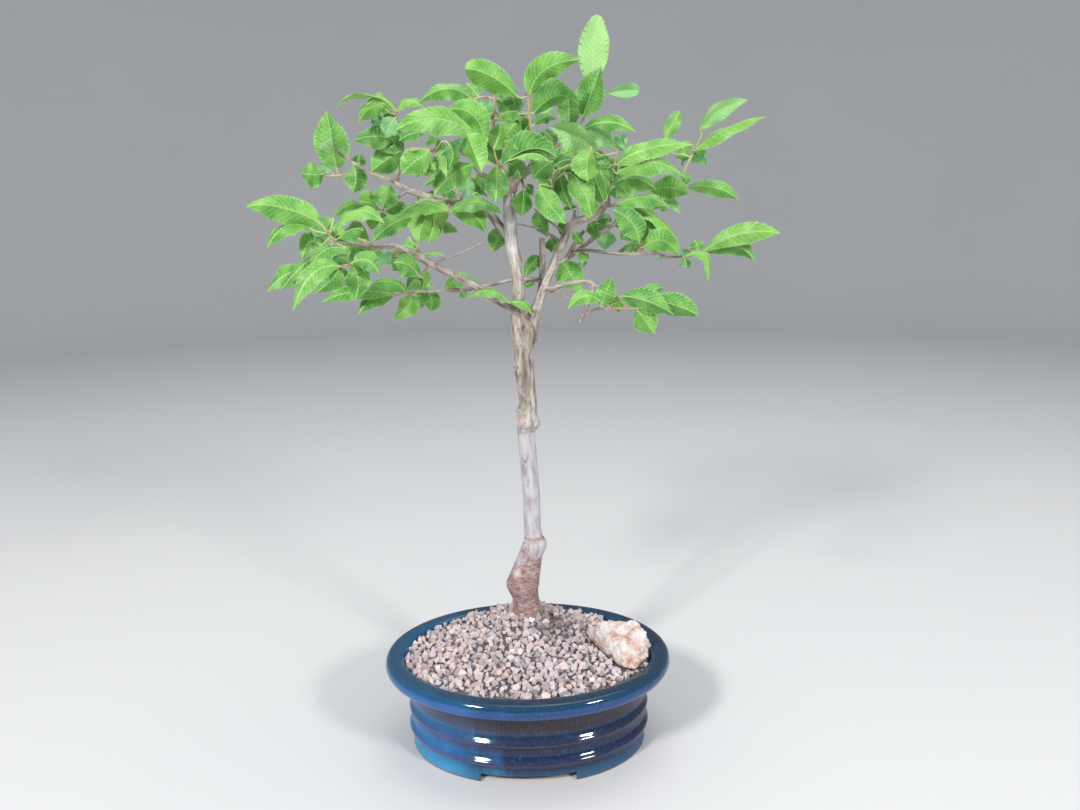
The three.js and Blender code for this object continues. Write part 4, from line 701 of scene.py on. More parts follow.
def leaf_underside_matt(tree, spot, place, tint):
    """Hornbeam leaf from below: matt, paler and bluer, with raised straw-green veins."""
    # The green follows the leaf's shade, which deep in the crown is partly painted shade
    green = add(tree, "ValToRGB", {0: tint[0]}, stops=(
        (0, "#5F9F6E"), (0.5, "#80BD82"), (0.75, "#93C97A"), (1, "#A6D17E")))
    cloud = add(tree, "TexNoise", {"Vector": spot, "Scale": 160, "Detail": 3})
    dark = add(tree, "Mix", {0: 0.4, 6: green, 7: "#6FA86C"}, data_type="RGBA")
    green = add(tree, "Mix", {0: cloud, 6: green, 7: dark}, data_type="RGBA")
    away = add(tree, "Math", {0: place[0], 1: 0.5}, operation="PINGPONG")
    vein = add(tree, "MapRange", {0: away, 1: 0.02, 2: 0.12, 3: 0.4, 4: 0})
    colour = add(tree, "Mix", {0: vein, 6: green, 7: "#CDE2B4"}, data_type="RGBA")
    return colour, add(tree, "Bump", {"Strength": 0.5, "Distance": 0.0003, "Height": vein})


def leaf_stalk_straw(tree, spot, tint):
    """Leaf stalk and rib: smooth straw-green skin, tanned in some leaves."""
    flush = add(tree, "TexNoise", {"Vector": spot, "Scale": 220, "Detail": 2})
    straw = add(tree, "ValToRGB", {0: tint[2]}, stops=((0, "#BFD084"), (0.6, "#CFD795"), (1, "#CDB486")))
    return add(tree, "Mix", {0: flush, 6: straw, 7: "#B3C877"}, data_type="RGBA"), None


def young_twig_skin(tree, spot, grain):
    """Young hornbeam twig: thin tan skin with small pale pores, greener away from the old wood."""
    patch = add(tree, "TexNoise", {"Vector": spot, "Scale": 160, "Detail": 4})
    skin = add(tree, "ValToRGB", {0: patch}, stops=((0.32, "#8A6A58"), (0.5, "#B08E78"), (0.66, "#CDB5A2")))
    # Tan at the old wood, straw green 6 to 20 mm away from it
    young = add(tree, "MapRange", {0: grain[2], 1: 0.006, 2: 0.02, 4: 0.7})
    skin = add(tree, "Mix", {0: young, 6: skin, 7: "#B8B473"}, data_type="RGBA")
    pore = add(tree, "TexVoronoi", {"Vector": spot, "Scale": 600})
    pore = add(tree, "MapRange", {0: pore, 1: 0.12, 2: 0.25, 3: 0.5, 4: 0})
    colour = add(tree, "Mix", {0: pore, 6: skin, 7: "#E0D3BE"}, data_type="RGBA")
    return colour, add(tree, "Bump", {"Strength": 0.4, "Distance": 0.0002, "Height": patch})


# Heights where the bark's white begins and ends, as seen on the trunk
WHITE_LOW, WHITE_HIGH = (float(seen(527, row, 38)[2]) for row in (556, 432))


def hornbeam_bark_smooth(tree, spot, marks):
    """Smooth hornbeam bark: near white, streaked, red-brown on the foot and greyer up the trunk.

    Rust, dark and moss spots are painted by the attribute bark_marks, whose third part below nothing means
    bare white. The dark in the fork is painted shade, and the bare white on the left leader is painted
    light.
    """
    height = add(tree, "SeparateXYZ", {0: spot}, out="Z")
    patch = add(tree, "TexNoise", {"Vector": spot, "Scale": 90, "Detail": 4})
    # Streaks 3 mm wide and 12 mm long that follow each limb, and flat blotches on the foot
    grain = add(tree, "Attribute", out="Vector", attribute_name="grain")
    along = add(tree, "Mapping", {"Vector": grain, "Scale": (1, 1, 0.25)})
    streak = add(tree, "TexNoise", {"Vector": along, "Scale": 300, "Detail": 5, "Roughness": 0.65})
    flat = add(tree, "Mapping", {"Vector": spot, "Scale": (1, 1, 2.6)})
    scale = add(tree, "TexNoise", {"Vector": flat, "Scale": 210, "Detail": 5, "Roughness": 0.7})
    white = add(tree, "ValToRGB", {0: streak}, stops=(
        (0.3, "#8C8489"), (0.42, "#B0AAAF"), (0.52, "#C1BDC3"), (0.68, "#D0CDD2")))
    brown = add(tree, "ValToRGB", {0: scale}, stops=(
        (0.34, "#785C57"), (0.44, "#917570"), (0.52, "#A88D89"), (0.62, "#BBA5A2"), (0.75, "#D0C2C0")))
    grey = add(tree, "ValToRGB", {0: streak}, stops=(
        (0.34, "#6C5F57"), (0.44, "#948980"), (0.52, "#B2A69C"), (0.64, "#CDC3B9")))
    # The patches move the borders of white up and down, and add 0.05 m on average
    wobble = add(tree, "Math", {0: patch, 1: 0.1, 2: height}, operation="MULTIPLY_ADD")
    up = add(tree, "MapRange", {0: wobble, 1: WHITE_LOW + 0.045, 2: WHITE_LOW + 0.056})
    over = add(tree, "MapRange", {0: wobble, 1: WHITE_HIGH + 0.04, 2: WHITE_HIGH + 0.07})
    # Specks about 1 mm across
    tall = add(tree, "Mapping", {"Vector": spot, "Scale": (1, 1, 0.55)})
    speck = add(tree, "TexNoise", {"Vector": tall, "Scale": 620, "Detail": 2})
    most = add(tree, "MapRange", {0: over, 3: 0.3, 4: 0.8})
    speck = add(tree, "MapRange", {0: speck, 1: 0.6, 2: 0.72, 4: most})
    layers = [(up, white), (over, grey), (speck, "#6E5C54")]
    # Bare white where the moss share is below nothing, painted light on the left leader; the dark stain is
    # painted shade in the fork
    bare = add(tree, "MapRange", {0: marks[2], 2: -1})
    stains = ((bare, "#E4DFE2"), (marks[0], "#B5764F"), (marks[1], "#5B4A44"), (marks[2], "#8E9466"))
    for share, paint in stains:
        # The edge of a stain follows the streaks
        ragged = add(tree, "Math", {0: streak, 1: 0.9, 2: share}, operation="MULTIPLY_ADD")
        layers.append((add(tree, "MapRange", {0: ragged, 1: 0.6, 2: 1.2}), paint))
    colour = brown
    for share, paint in layers:
        colour = add(tree, "Mix", {0: share, 6: colour, 7: paint}, data_type="RGBA")
    rough = add(tree, "Math", {0: streak, 1: 0.6, 2: patch}, operation="MULTIPLY_ADD")
    return colour, add(tree, "Bump", {"Strength": 0.6, "Distance": 0.0006, "Height": rough})


# The glaze by height in mm: where it pooled blue on the left, and where it broke brown on the right
POT_TALL = 72
GLAZE_LEFT = [
    (0, "#6B4A3E"), (1.2, "#7A5A4C"), (1.8, "#3F97C2"), (10, "#2F83B4"), (13, "#2B689C"),
    (16.5, "#4A5788"), (20, "#2F73AA"), (24, "#25609A"), (28, "#425589"), (31.5, "#4A5080"),
    (35.5, "#2C6C98"), (41, "#41496B"), (48, "#4B465A"), (56, "#3F3541"), (58.5, "#2658A0"),
    (66, "#2A5FA4"), (69.5, "#1D5278"), (71.6, "#1B4F70"), (POT_TALL, "#22465F"),
]
GLAZE_RIGHT = [
    (0, "#5B4038"), (1.2, "#6B5044"), (1.8, "#25567A"), (9, "#1B3655"), (13, "#1B2848"),
    (16.5, "#2F2F4C"), (20, "#132747"), (24, "#112241"), (28, "#292945"), (31.5, "#302C45"),
    (35.5, "#152E4C"), (41, "#292331"), (48, "#33262F"), (56, "#261D25"), (58.5, "#173A74"),
    (66, "#19407A"), (69.5, "#143C58"), (71.6, "#153852"), (POT_TALL, "#1D3046"),
]


def stoneware_glaze_blue(tree, spot):
    """Poured stoneware glaze: glossy, pooled blue in the hollows, broken brown over the edges."""
    parts = add(tree, "SeparateXYZ", {0: spot}).node.outputs
    run = add(tree, "Mapping", {"Vector": spot, "Scale": (1, 1, 0.5)})
    pool = add(tree, "TexNoise", {"Vector": run, "Scale": 28, "Detail": 5, "Roughness": 0.6})
    tall = add(tree, "Math", {0: parts[2], 1: 1 / (POT_TALL * MM)}, operation="MULTIPLY")
    sides = []
    for bands in (GLAZE_LEFT, GLAZE_RIGHT):
        stops = [(height / POT_TALL, colour) for height, colour in bands]
        sides.append(add(tree, "ValToRGB", {0: tall}, stops=stops))
    turn = add(tree, "Math", {0: pool, 1: 0.16, 2: parts[0]}, operation="MULTIPLY_ADD")
    share = add(tree, "MapRange", {0: turn, 2: 0.055})
    base = add(tree, "Mix", {0: share, 6: sides[0], 7: sides[1]}, data_type="RGBA")
    # Flecks about 1 mm across, of crystals in the glaze
    fleck = add(tree, "TexNoise", {"Vector": run, "Scale": 520, "Detail": 3, "Roughness": 0.7})
    fleck = add(tree, "MapRange", {0: fleck, 1: 0.54, 2: 0.74, 4: 0.3})
    base = add(tree, "Mix", {0: fleck, 6: base, 7: "#3F7FA8"}, data_type="RGBA")
    wave = add(tree, "TexNoise", {"Vector": spot, "Scale": 110, "Detail": 1})
    return base, add(tree, "Bump", {"Strength": 0.1, "Distance": 0.0004, "Height": wave})


def stoneware_bare(tree, spot):
    """Fired stoneware without glaze: warm brown, gritty and matt."""
    grit = add(tree, "TexNoise", {"Vector": spot, "Scale": 500, "Detail": 4})
    colour = add(tree, "ValToRGB", {0: grit}, stops=((0.3, "#6E4B3C"), (0.5, "#8C6450"), (0.7, "#A67E68")))
    return colour, add(tree, "Bump", {"Strength": 0.4, "Distance": 0.0004, "Height": grit})


def volcanic_grit(tree, spot, tint):
    """Sieved volcanic grit: dull pores in grey, pink and tan, each grain its own shade."""
    hue = add(tree, "ValToRGB", {0: tint[0]}, stops=(
        (0, "#B0A6AA"), (0.3, "#C5BABD"), (0.5, "#D2C6C9"), (0.65, "#CDB9B9"), (0.8, "#D9C3BE"),
        (0.92, "#D0B8AE"), (1, "#E6DFE1")))
    # Pores about 0.5 mm across
    pore = add(tree, "TexNoise", {"Vector": spot, "Scale": 900, "Detail": 4, "Roughness": 0.65})
    speck = add(tree, "MapRange", {0: pore, 1: 0.35, 2: 0.65, 3: 0.78, 4: 1.12})
    light = add(tree, "Math", {0: speck, 1: tint[1]}, operation="MULTIPLY")
    grey = add(tree, "CombineXYZ", {0: light, 1: light, 2: light})
    colour = add(tree, "Mix", {0: 1, 6: hue, 7: grey}, data_type="RGBA", blend_type="MULTIPLY")
    return colour, add(tree, "Bump", {"Strength": 0.8, "Distance": 0.0006, "Height": pore})


def quartz_rock_rusty(tree, spot):
    """Weathered quartz rock: cream, with chalky flecks and broad patches of rust."""
    pit = {"Vector": spot, "Scale": 95, "Detail": 6, "Roughness": 0.65, "Distortion": 0.6}
    broad = add(tree, "TexNoise", pit)
    fine = add(tree, "TexNoise", {"Vector": spot, "Scale": 420, "Detail": 4})
    colour = add(tree, "ValToRGB", {0: broad}, stops=(
        (0.32, "#DCD6D5"), (0.44, "#D6CBC7"), (0.51, "#CDB6AB"), (0.58, "#BE947F"), (0.68, "#A26C59")))
    chalk = add(tree, "MapRange", {0: fine, 1: 0.42, 2: 0.7, 4: 0.6})
    colour = add(tree, "Mix", {0: chalk, 6: colour, 7: "#E0DBDA"}, data_type="RGBA")
    rough = add(tree, "Math", {0: fine, 1: 0.5, 2: broad}, operation="MULTIPLY_ADD")
    return colour, add(tree, "Bump", {"Strength": 0.9, "Distance": 0.0014, "Height": rough})


def pale_board(tree, spot):
    """The backdrop's matt card: near white, a little cloudy over most of a metre."""
    cloud = add(tree, "TexNoise", {"Vector": spot, "Scale": 1.5})
    return add(tree, "Mix", {0: cloud, 6: "#D3D4D5", 7: "#DADADA"}, data_type="RGBA"), None


# Leaves, in mm: half the thickness of a blade at its rib, the radii of stalk and rib, bud and stem
UPPER, UNDER, STALK, TWIG = range(4)
BLADE_HALF = 0.2
STALK_RADIUS = (0.5, 0.42)
RIB_END = 0.16
BUD = {"length": 3, "radius": (0.25, 0.5, 0.5, 0.3, 0.08)}
STEM_RADIUS = (1.05, 0.7)
# A blade's grid: leaves longer than this have so many teeth a side, and so many points from rib to edge
LEAF_GRIDS = [(27, 12, 4), (14, 8, 3), (0, 5, 2)]
# Teeth: how far the four points of each go out and ahead, times a share of the leaf's length within bounds
TOOTH_OUT = np.array([0, 0.5, 0.1, 1]) - 0.4
TOOTH_AHEAD = np.array([0, 0.6, 0.35, 1.3])
TOOTH = {"share": 0.024, "least": 0.3, "most": 1.15}
# Veins climb to the edge by this share of the leaf's shape, and crease it so deep in mm
VEIN = {"climb": 0.43, "deep": 0.26}
# The edge waves by this share of the width, this many times in radians along the leaf
WAVE = {"share": 0.085, "times": 2.1}
TWIST = math.radians(36)
TIP_HOOK = 0.04
BELLY = 0.88
LEAF_SEED = 5
BACK_SEED = 7


def outline(along, belly, sharp):
    """Half width of an oval blade as a share of its greatest, with a round base.

    It is sin(pi x along^belly) to the power 0.7 + sharp x along squared. A small belly puts the broadest
    place near the base, a large one near the tip, and sharp below nothing makes a round tip.
    """
    return np.sin(math.pi * np.clip(along, 0, 1) ** belly) ** (0.7 + sharp * along ** 2)


def nearest_on(line, spot):
    """The point of a line of straight stretches that is nearest to a spot."""
    ways = np.diff(line, axis=0)
    share = ((spot - line[:-1]) * ways).sum(axis=1) / (ways ** 2).sum(axis=1)
    points = line[:-1] + ways * np.clip(share, 0, 1)[:, None]
    return points[np.linalg.norm(points - spot, axis=1).argmin()]


def blade(rib, way, side, normal, broad, size, halves, tint):
    """A leaf's blade, as a grid of points on both its faces with one edge between them.

    Across it, a point lies half width x share out and (fold x share - 0.1 share squared) x half width
    down. Every fourth point of the edge is a tooth with a smaller one before it, and the creases of the
    veins run out to the teeth. The mark leaf_place tells how many veins along a point is, how many mm
    from the rib and at what share of the way to the edge.
    """
    length, width = size
    teeth = len(rib) // 4
    u = np.linspace(0, 1, len(rib))[:, None]
    share = np.linspace(-1, 1, 2 * halves + 1)
    part = np.abs(share)
    edge = part == 1
    half = np.maximum(broad * width / 2, np.where(u < 0.5, STALK_RADIUS[0], 0.1) * MM)
    tooth = np.clip(length * TOOTH["share"], TOOTH["least"] * MM, TOOTH["most"] * MM)
    tooth = tooth * np.clip(u * 8 - 0.4, 0, 1) * (1 - u ** 8)
    step = np.arange(len(u)) % 4
    jut = TOOTH_OUT[step][:, None] * tooth
    reach = share * half * 0.95 + np.sign(share) * edge * jut
    ahead = TOOTH_AHEAD[step][:, None] * tooth * part ** 3
    vein = teeth * (u + VEIN["climb"] * width / length * (1 - part)) + 0.25
    crease = np.cos(2 * math.pi * vein) * (0.3 + 4 * part * (1 - part)) * (width > 10 * MM)
    wave = np.sin(2 * math.pi * (WAVE["times"] * u + 20 * tint[0]) + np.sign(share) * 1.2) * part ** 2
    droop = width / 2 * ((0.25 + 0.6 * tint[2]) * part * broad - 0.1 * (part * broad) ** 2)
    lift = (WAVE["share"] * width * wave - VEIN["deep"] * MM * crease) * broad - droop
    thick = BLADE_HALF * MM * (1 - 0.6 * part ** 2) * ~edge * np.ones_like(u)
    thick[[0, -1]] = 0

    middles = rib[:, None] + side[:, None] * reach[..., None] + way[:, None] * ahead[..., None]
    top = middles + normal[:, None] * (lift + thick)[..., None]
    bottom = middles + normal[:, None] * (lift - thick)[..., None]
    rows, columns = reach.shape
    upper = np.arange(reach.size).reshape(rows, columns)
    under = upper.copy()
    under[1:-1, 1:-1] = reach.size + np.arange((rows - 2) * (columns - 2)).reshape(rows - 2, -1)
    place = np.stack([vein, reach / MM, part + 0 * reach], axis=-1)
    points = np.concatenate([top.reshape(-1, 3), bottom[1:-1, 1:-1].reshape(-1, 3)])
    places = np.concatenate([place.reshape(-1, 3), place[1:-1, 1:-1].reshape(-1, 3)])
    faces = quads_of(upper) + quads_of(under[:, ::-1])
    made = part_of(points, faces, {"leaf_place": places, "leaf_tint": tint})
    made["materials"] = [UPPER] * (len(faces) // 2) + [UNDER] * (len(faces) // 2)
    return made


def leaf(row, line, tint):
    """A blade with its stalk, its raised rib and the bud beside it.

    The rib is a quadratic curve through the leaf's three places, hooked a little at its tip. The blade
    turns by its tilt from square to the eye towards the sky, and twists a little from base to tip.
    """
    base_x, base_y, mid_x, mid_y, tip_x, tip_y, width, tilt, base_depth, tip_depth = row[:10]
    belly = row[11] if len(row) > 11 else BELLY
    sharp = row[12] if len(row) > 12 else 0.1 + 0.5 * tint[2]
    base = seen(base_x, base_y, base_depth)
    middle = seen(mid_x, mid_y, (base_depth + tip_depth) / 2)
    tip = seen(tip_x, tip_y, tip_depth)
    length = np.linalg.norm(tip - base)
    teeth, halves = next(grid[1:] for grid in LEAF_GRIDS if length > grid[0] * MM)
    along = np.linspace(0, 1, 4 * teeth + 1)
    u = along[:, None]
    pull = 2 * middle - base / 2 - tip / 2
    rib = (1 - u) ** 2 * base + 2 * u * (1 - u) * pull + u ** 2 * tip
    rib[:, 2] += TIP_HOOK * length * (along - along ** 6)
    way = unit(np.gradient(rib, axis=0))
    run = way[len(way) // 2]
    across = unit(np.cross(run, middle - EYE))
    lean = across * (1 if across @ SKY > 0 else -1)
    tilt = math.radians(tilt)
    face = np.cross(run, across) * math.cos(tilt) + lean * math.sin(tilt)
    side = unit(np.cross(face, way))
    normal = np.cross(way, side)
    turn = TWIST * (2 * tint[1] - 1) * (u - 0.3)
    side, normal = side * np.cos(turn) + normal * np.sin(turn), normal * np.cos(turn) - side * np.sin(turn)
    broad = outline(along, belly, sharp)[:, None]
    flat = blade(rib, way, side, normal, broad, (length, width * MM), halves, tint)

    root = nearest_on(line, base)
    leave, arrive = root + (base - root) * 0.35, base - way[0] * np.linalg.norm(base - root) * 0.4
    s = np.linspace(0, 1, 8)[:, None]
    path = ((1 - s) ** 3 * root + 3 * s * (1 - s) ** 2 * leave + 3 * s ** 2 * (1 - s) * arrive
            + s ** 3 * (base + way[0] * MM))
    mark = {"leaf_tint": tint}
    stalk = tube(path, np.linspace(*STALK_RADIUS, len(path)) * MM, 6, None, STALK, mark)
    ridge = (rib - normal * BLADE_HALF * MM)[:-4:4]
    raised = tube(ridge, np.linspace(STALK_RADIUS[1], RIB_END, len(ridge)) * MM, 5, None, STALK, mark)
    out = unit(unit(base - root) + 0.8 * unit(line[-1] - line[0]))
    bud_path = root + out * np.linspace(0, BUD["length"], len(BUD["radius"]))[:, None] * MM
    bud = tube(bud_path, np.array(BUD["radius"]) * MM, 6, None, TWIG)
    return [flat, stalk, raised, bud]


def shoot(name, stem, rows, skins, rng):
    """One leafy shoot: its stem as a thin tube and all its leaves, in place of its solid."""
    node = "leaves_" + name
    line = smooth_path(seen(*np.array(stem, float).T), 3 * MM)
    parts = [tube(line, np.linspace(*STEM_RADIUS, len(line)) * MM, 8, None, TWIG)]
    for row in rows:
        # The row's shade, darker for leaves deep in the crown, is partly painted shade
        shade = row[10] + rng.normal(0, 0.05) if len(row) > 10 else rng.normal(0.45, 0.2)
        parts += leaf(row, line, np.clip([shade, rng.random(), rng.random()], 0, 1))
    mesh = mesh_of("shoot_" + name, parts, skins, crease=50)
    piece("shoot_" + name, mesh, [node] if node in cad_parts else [])


def back_leaves(stem, slides, draw):
    """Leaves of a far-side shoot, to the left and the right by turns, drawn as for the solids."""
    rows, stem = [], np.array(stem, float)
    for i in range(BACK_LEAVES):
        place = (0.45 + 0.55 * i / (BACK_LEAVES - 1)) * (len(stem) - 1)
        k = min(int(place), len(stem) - 2)
        x, y, depth = stem[k] + (stem[k + 1] - stem[k]) * (place - k)
        turn = math.pi * (i % 2) + 1.6 * (next(draw) - 0.5)
        length = 20 + 8 * next(draw)
        across, down = length * math.cos(turn), length * math.sin(turn) * 0.8 + 3
        deeper = 8 + 22 * next(draw)
        width = 17 + 4 * next(draw)
        depth += slides.get(i, 0)
        rows.append((
            x + 0.25 * across, y + 0.25 * down, x + 0.7 * across, y + 0.6 * down - 4,
            x + 1.2 * across, y + 1.2 * down, width, 50 + 30 * next(draw), depth + 2, depth + deeper,
        ))
    return rows


def make_leaves():
    """Every shoot, first the ones that the front shows."""
    skins = [
        finish(leaf_upper_waxed, "leaf_place", "leaf_tint", Roughness=0.42, **LEAF_FLESH),
        finish(leaf_underside_matt, "leaf_place", "leaf_tint", Roughness=0.7, **LEAF_FLESH),
        finish(leaf_stalk_straw, "leaf_tint", Roughness=0.5, IOR=1.42),
        finish(young_twig_skin, "grain", Roughness=0.55, IOR=1.45),
    ]
    rng = np.random.default_rng(LEAF_SEED)
    draw = drawer(BACK_SEED)
    for name, (stem, rows) in SHOOTS.items():
        shoot(name, stem, rows, skins, rng)
    for name, stem in BACK_SHOOTS.items():
        shoot(name, stem, back_leaves(stem, BACK_SLIDES.get(name, {}), draw), skins, rng)


# Wood: the steps along its tubes in mm, their sides, and the depth of their flutes as a share
TRUNK_TUBE = (1.3, 48, 0.045)
LIMB_TUBE = (1.8, 20, 0.06)
TWIG_TUBE = (1.8, 12, 0.06)
THIN_LIMB = 3
COLLAR = {"swell": 0.2, "reach": 1.2}
RUSTY = {"below": 4.5, "share": 0.08}


def fluted(amount, seed):
    """The bark's low ridges: sines of 3, 5 and 8 times the angle, wandering a little along the limb."""
    a, b, c, d = np.random.default_rng(seed).uniform(0, 2 * math.pi, 4)
    return lambda angle, along: amount * (
        0.5 * np.sin(3 * angle + a + 0.7 * np.sin(along / 0.03))
        + 0.4 * np.sin(5 * angle + b - along / 0.09)
        + 0.3 * np.sin(8 * angle + c + np.sin(along / 0.017))
        + 0.5 * np.sin(along / 0.012 + d))


def mark_bark(part, paths, sides, tan):
    """Adds the spots to a limb: each fades as a bell over its reach and lifts the bark by its lump.

    tan is a share that rusts the whole limb a little, in patches.
    """
    points = part["points"]
    out = unit(points - np.repeat(paths, sides, axis=0))
    painted = np.zeros((len(points), 3)) + [tan, 0, 0]
    lift = np.zeros(len(points))
    # Dark spots in the fork paint shade, and a bare-white spot on the left leader paints light
    for column, row, depth, wide, tall, rust, dark, moss, lump in BARK_MARKS:
        away = (points - seen(column, row, depth)) / MM
        near = np.exp(-(away[:, 0] ** 2 + away[:, 1] ** 2) / wide ** 2 - (away[:, 2] / tall) ** 2)
        painted += near[:, None] * np.array([rust, dark, moss])
        lift += near * lump
    part["points"] = points + out * lift[:, None] * MM
    part["marks"]["bark_marks"] = painted
    return part


def make_wood():
    """Trunk and limbs as fluted tubes, each limb swelling where it leaves its parent."""
    bark = finish(hornbeam_bark_smooth, "bark_marks", Roughness=0.74, IOR=1.45)
    parts = []
    for k, rows in enumerate([TRUNK, *LIMBS.values()]):
        x, y, depth, radius = np.array(rows, float).T
        thick = radius.max()
        step, sides, flutes = TRUNK_TUBE if k == 0 else LIMB_TUBE if thick > THIN_LIMB else TWIG_TUBE
        path = smooth_path(np.hstack([seen(x, y, depth), radius[:, None] * MM]), step * MM)
        along = np.append(0, np.cumsum(np.linalg.norm(np.diff(path[:, :3], axis=0), axis=1)))
        collar = 1 + COLLAR["swell"] * np.exp(-(along / (COLLAR["reach"] * path[0, 3])) ** 2) * (k > 0)
        part = tube(path[:, :3], path[:, 3] * collar, sides, fluted(flutes, k))
        parts.append(mark_bark(part, path[:, :3], sides, RUSTY["share"] * (thick < RUSTY["below"])))
    piece("tree_wood", mesh_of("tree_wood", parts, [bark], crease=60), ["wood"])


# Profile of the pot, as inset from the rim's oval and height in mm, from underneath up, over and in
POT_PROFILE = [
    (29, 9.5), (28.6, 5), (28.2, 1), (27.4, 0), (24, 0), (20.2, 0), (18.7, 0.5), (18.4, 1.6), (19, 4),
    (19.8, 7.4), (20, 10.6), (19.6, 12.6), (18, 13.4), (16.4, 14.4), (15.9, 16), (16.2, 17.4),
    (17.4, 18.8), (18.8, 20.6), (19.6, 23), (19.8, 26), (19.4, 27.9), (18, 28.7), (16.7, 29.7),
    (16.3, 31.1), (16.6, 32.4), (17.8, 33.9), (19.2, 35.8), (20.1, 38.4), (20.5, 42), (20.5, 49),
    (19.6, 53.4), (16.5, 56), (10, 58), (4.6, 59.5), (1.9, 61.4), (0.4, 64.4), (0.2, 67), (1.1, 69.8),
    (2.9, 71.6), (5, 72), (8, 71.9), (11, 71.6), (12.7, 70.9), (13.7, 69.6), (14.6, 67.8), (17, 65.2),
    (22, 62.4), (25.5, 60), (26.6, 55), (27.2, 40), (27.6, 24), (29.6, 18.8), (33, 16),
]


def oval_rings(profile, sides):
    """Rings of an oval pot: half length and half width less the inset, times cosine and sine."""
    inset, height = (np.array(profile)[:, k, None] for k in (0, 1))
    angle = np.linspace(0, 2 * math.pi, sides, endpoint=False)
    rings = [(POT_HALF[0] - inset) * np.cos(angle), (POT_HALF[1] - inset) * np.sin(angle),
             height + 0 * angle]
    return np.stack(rings, axis=-1) * MM + POT_MIDDLE


def block(low, high):
    """A closed box between two corners, as a mesh to cut with."""
    bm = bmesh.new()
    bmesh.ops.create_cube(bm, size=1)
    for vertex in bm.verts:
        vertex.co = [(a + b) / 2 + c * (b - a) for a, b, c in zip(low, high, vertex.co)]
    return bm


def cut(mesh, cutter):
    """The mesh less a closed cutter."""
    tool = bpy.data.meshes.new("cutter")
    cutter.to_mesh(tool)
    cutter.free()
    body, knife = bpy.data.objects.new("body", mesh), bpy.data.objects.new("knife", tool)
    for item in (body, knife):
        bpy.context.scene.collection.objects.link(item)
    change = body.modifiers.new("cut", "BOOLEAN")
    change.operation, change.object = "DIFFERENCE", knife
    bpy.context.view_layer.update()
    made = bpy.data.meshes.new_from_object(body.evaluated_get(bpy.context.evaluated_depsgraph_get()))
    for item in (body, knife):
        bpy.data.objects.remove(item)
    return made


def make_pot():
    """The pot as smooth oval rings through its profile, with its foot cut out and two drain holes."""
    profile = smooth_path(np.column_stack([POT_PROFILE, np.zeros(len(POT_PROFILE))]), 1.1)[:, :2]
    profile[:, 1] = np.maximum(profile[:, 1], 0)
    part = part_of(oval_rings(profile, POT_SIDES), ring_faces(len(profile), POT_SIDES))
    glaze = finish(stoneware_glaze_blue, Roughness=0.07, IOR=1.52)
    clay = finish(stoneware_bare, Roughness=0.85, IOR=1.5)
    mesh = mesh_of("pot", [part], [glaze, clay], crease=50)
    x, y = POT_MIDDLE[:2]
    half = FOOT_GAP[0] / 2 * MM
    mesh = cut(mesh, block((x - half, y - 0.1, -0.01), (x + half, y + 0.1, FOOT_GAP[1] * MM)))
    for place in DRAIN["places"]:
        drill = bmesh.new()
        middle = Matrix.Translation((x + place * MM, y, DRAIN["middle"] * MM))
        radius = DRAIN["radius"] * MM
        bmesh.ops.create_cone(drill, cap_ends=True, segments=32, radius1=radius, radius2=radius,
                              depth=DRAIN["length"] * MM, matrix=middle)
        mesh = cut(mesh, drill)
    centres = np.empty(len(mesh.polygons) * 3, np.float32)
    mesh.polygons.foreach_get("center", centres)
    centres = centres.reshape(-1, 3)
    long, broad = (reach * MM for reach in BARE["half"])
    within = np.hypot((centres[:, 0] - x) / long, (centres[:, 1] - y) / broad) < 1
    bare = (centres[:, 2] < BARE["foot"] * MM) | ((centres[:, 2] < BARE["hollow"] * MM) & within)
    mesh.polygons.foreach_set("material_index", bare.astype(np.int32))
    mesh.polygons.foreach_set("use_smooth", [True] * len(mesh.polygons))
    mesh.set_sharp_from_angle(angle=math.radians(40))
    piece("pot_body", mesh, ["pot"])


# Gravel, in mm: the side of the filling as inset and height, its mound and heap, and the grains
GRAVEL_SEED = 3
SOIL_SIDE = [(33.4, 16.3), (27.9, 22.3), (26.5, 60.4), (16.4, 67.2)]
SOIL_INSET = 16
SOIL_DEEPER = 2.6
SOIL_SIDES = 96
MOUND = {"place": (-3, 36), "spread": (50, 52), "height": 12, "foot": 69.8}
HEAP = {"place": (-1, 38), "spread": (21, 21), "height": 5}
GRAIN = {"space": 5.4, "smallest": 5, "largest": 9.4, "sink": 0.2, "shapes": 14, "corners": 12}
LAYER = {"deeper": 3, "row": 0.87, "jitter": 0.33, "across": (-20, 21), "along": (-18, 19)}
GRAIN_ROOM = {"rim": 16.2, "trunk": 10, "stone": 2}
DARK_SPOT = {"place": (23, 31), "reach": 20, "most": 0.55}
WHITE_GRAIN = (531, 611, 26)


def soil_height(x, y):
    """Height of the gravel in mm: a flat rest with a broad mound and a small heap round the trunk.

    Each rises as its height x e to the power of less its distance squared, in spreads.
    """
    tall = MOUND["foot"]
    for rise in (MOUND, HEAP):
        (middle_x, middle_y), (long, broad) = rise["place"], rise["spread"]
        away = ((x - middle_x) / long) ** 2 + ((y - middle_y) / broad) ** 2
        tall = tall + rise["height"] * np.exp(-away)
    return tall


def hull_of(spots):
    """The convex hull of some spots, as a bmesh whose faces look outward."""
    bm = bmesh.new()
    for spot in spots:
        bm.verts.new(spot)
    hull = bmesh.ops.convex_hull(bm, input=bm.verts)
    bmesh.ops.delete(bm, geom=list({*hull["geom_interior"], *hull["geom_unused"]}), context="VERTS")
    bmesh.ops.recalc_face_normals(bm, faces=bm.faces)
    bm.normal_update()
    bm.verts.index_update()
    return bm


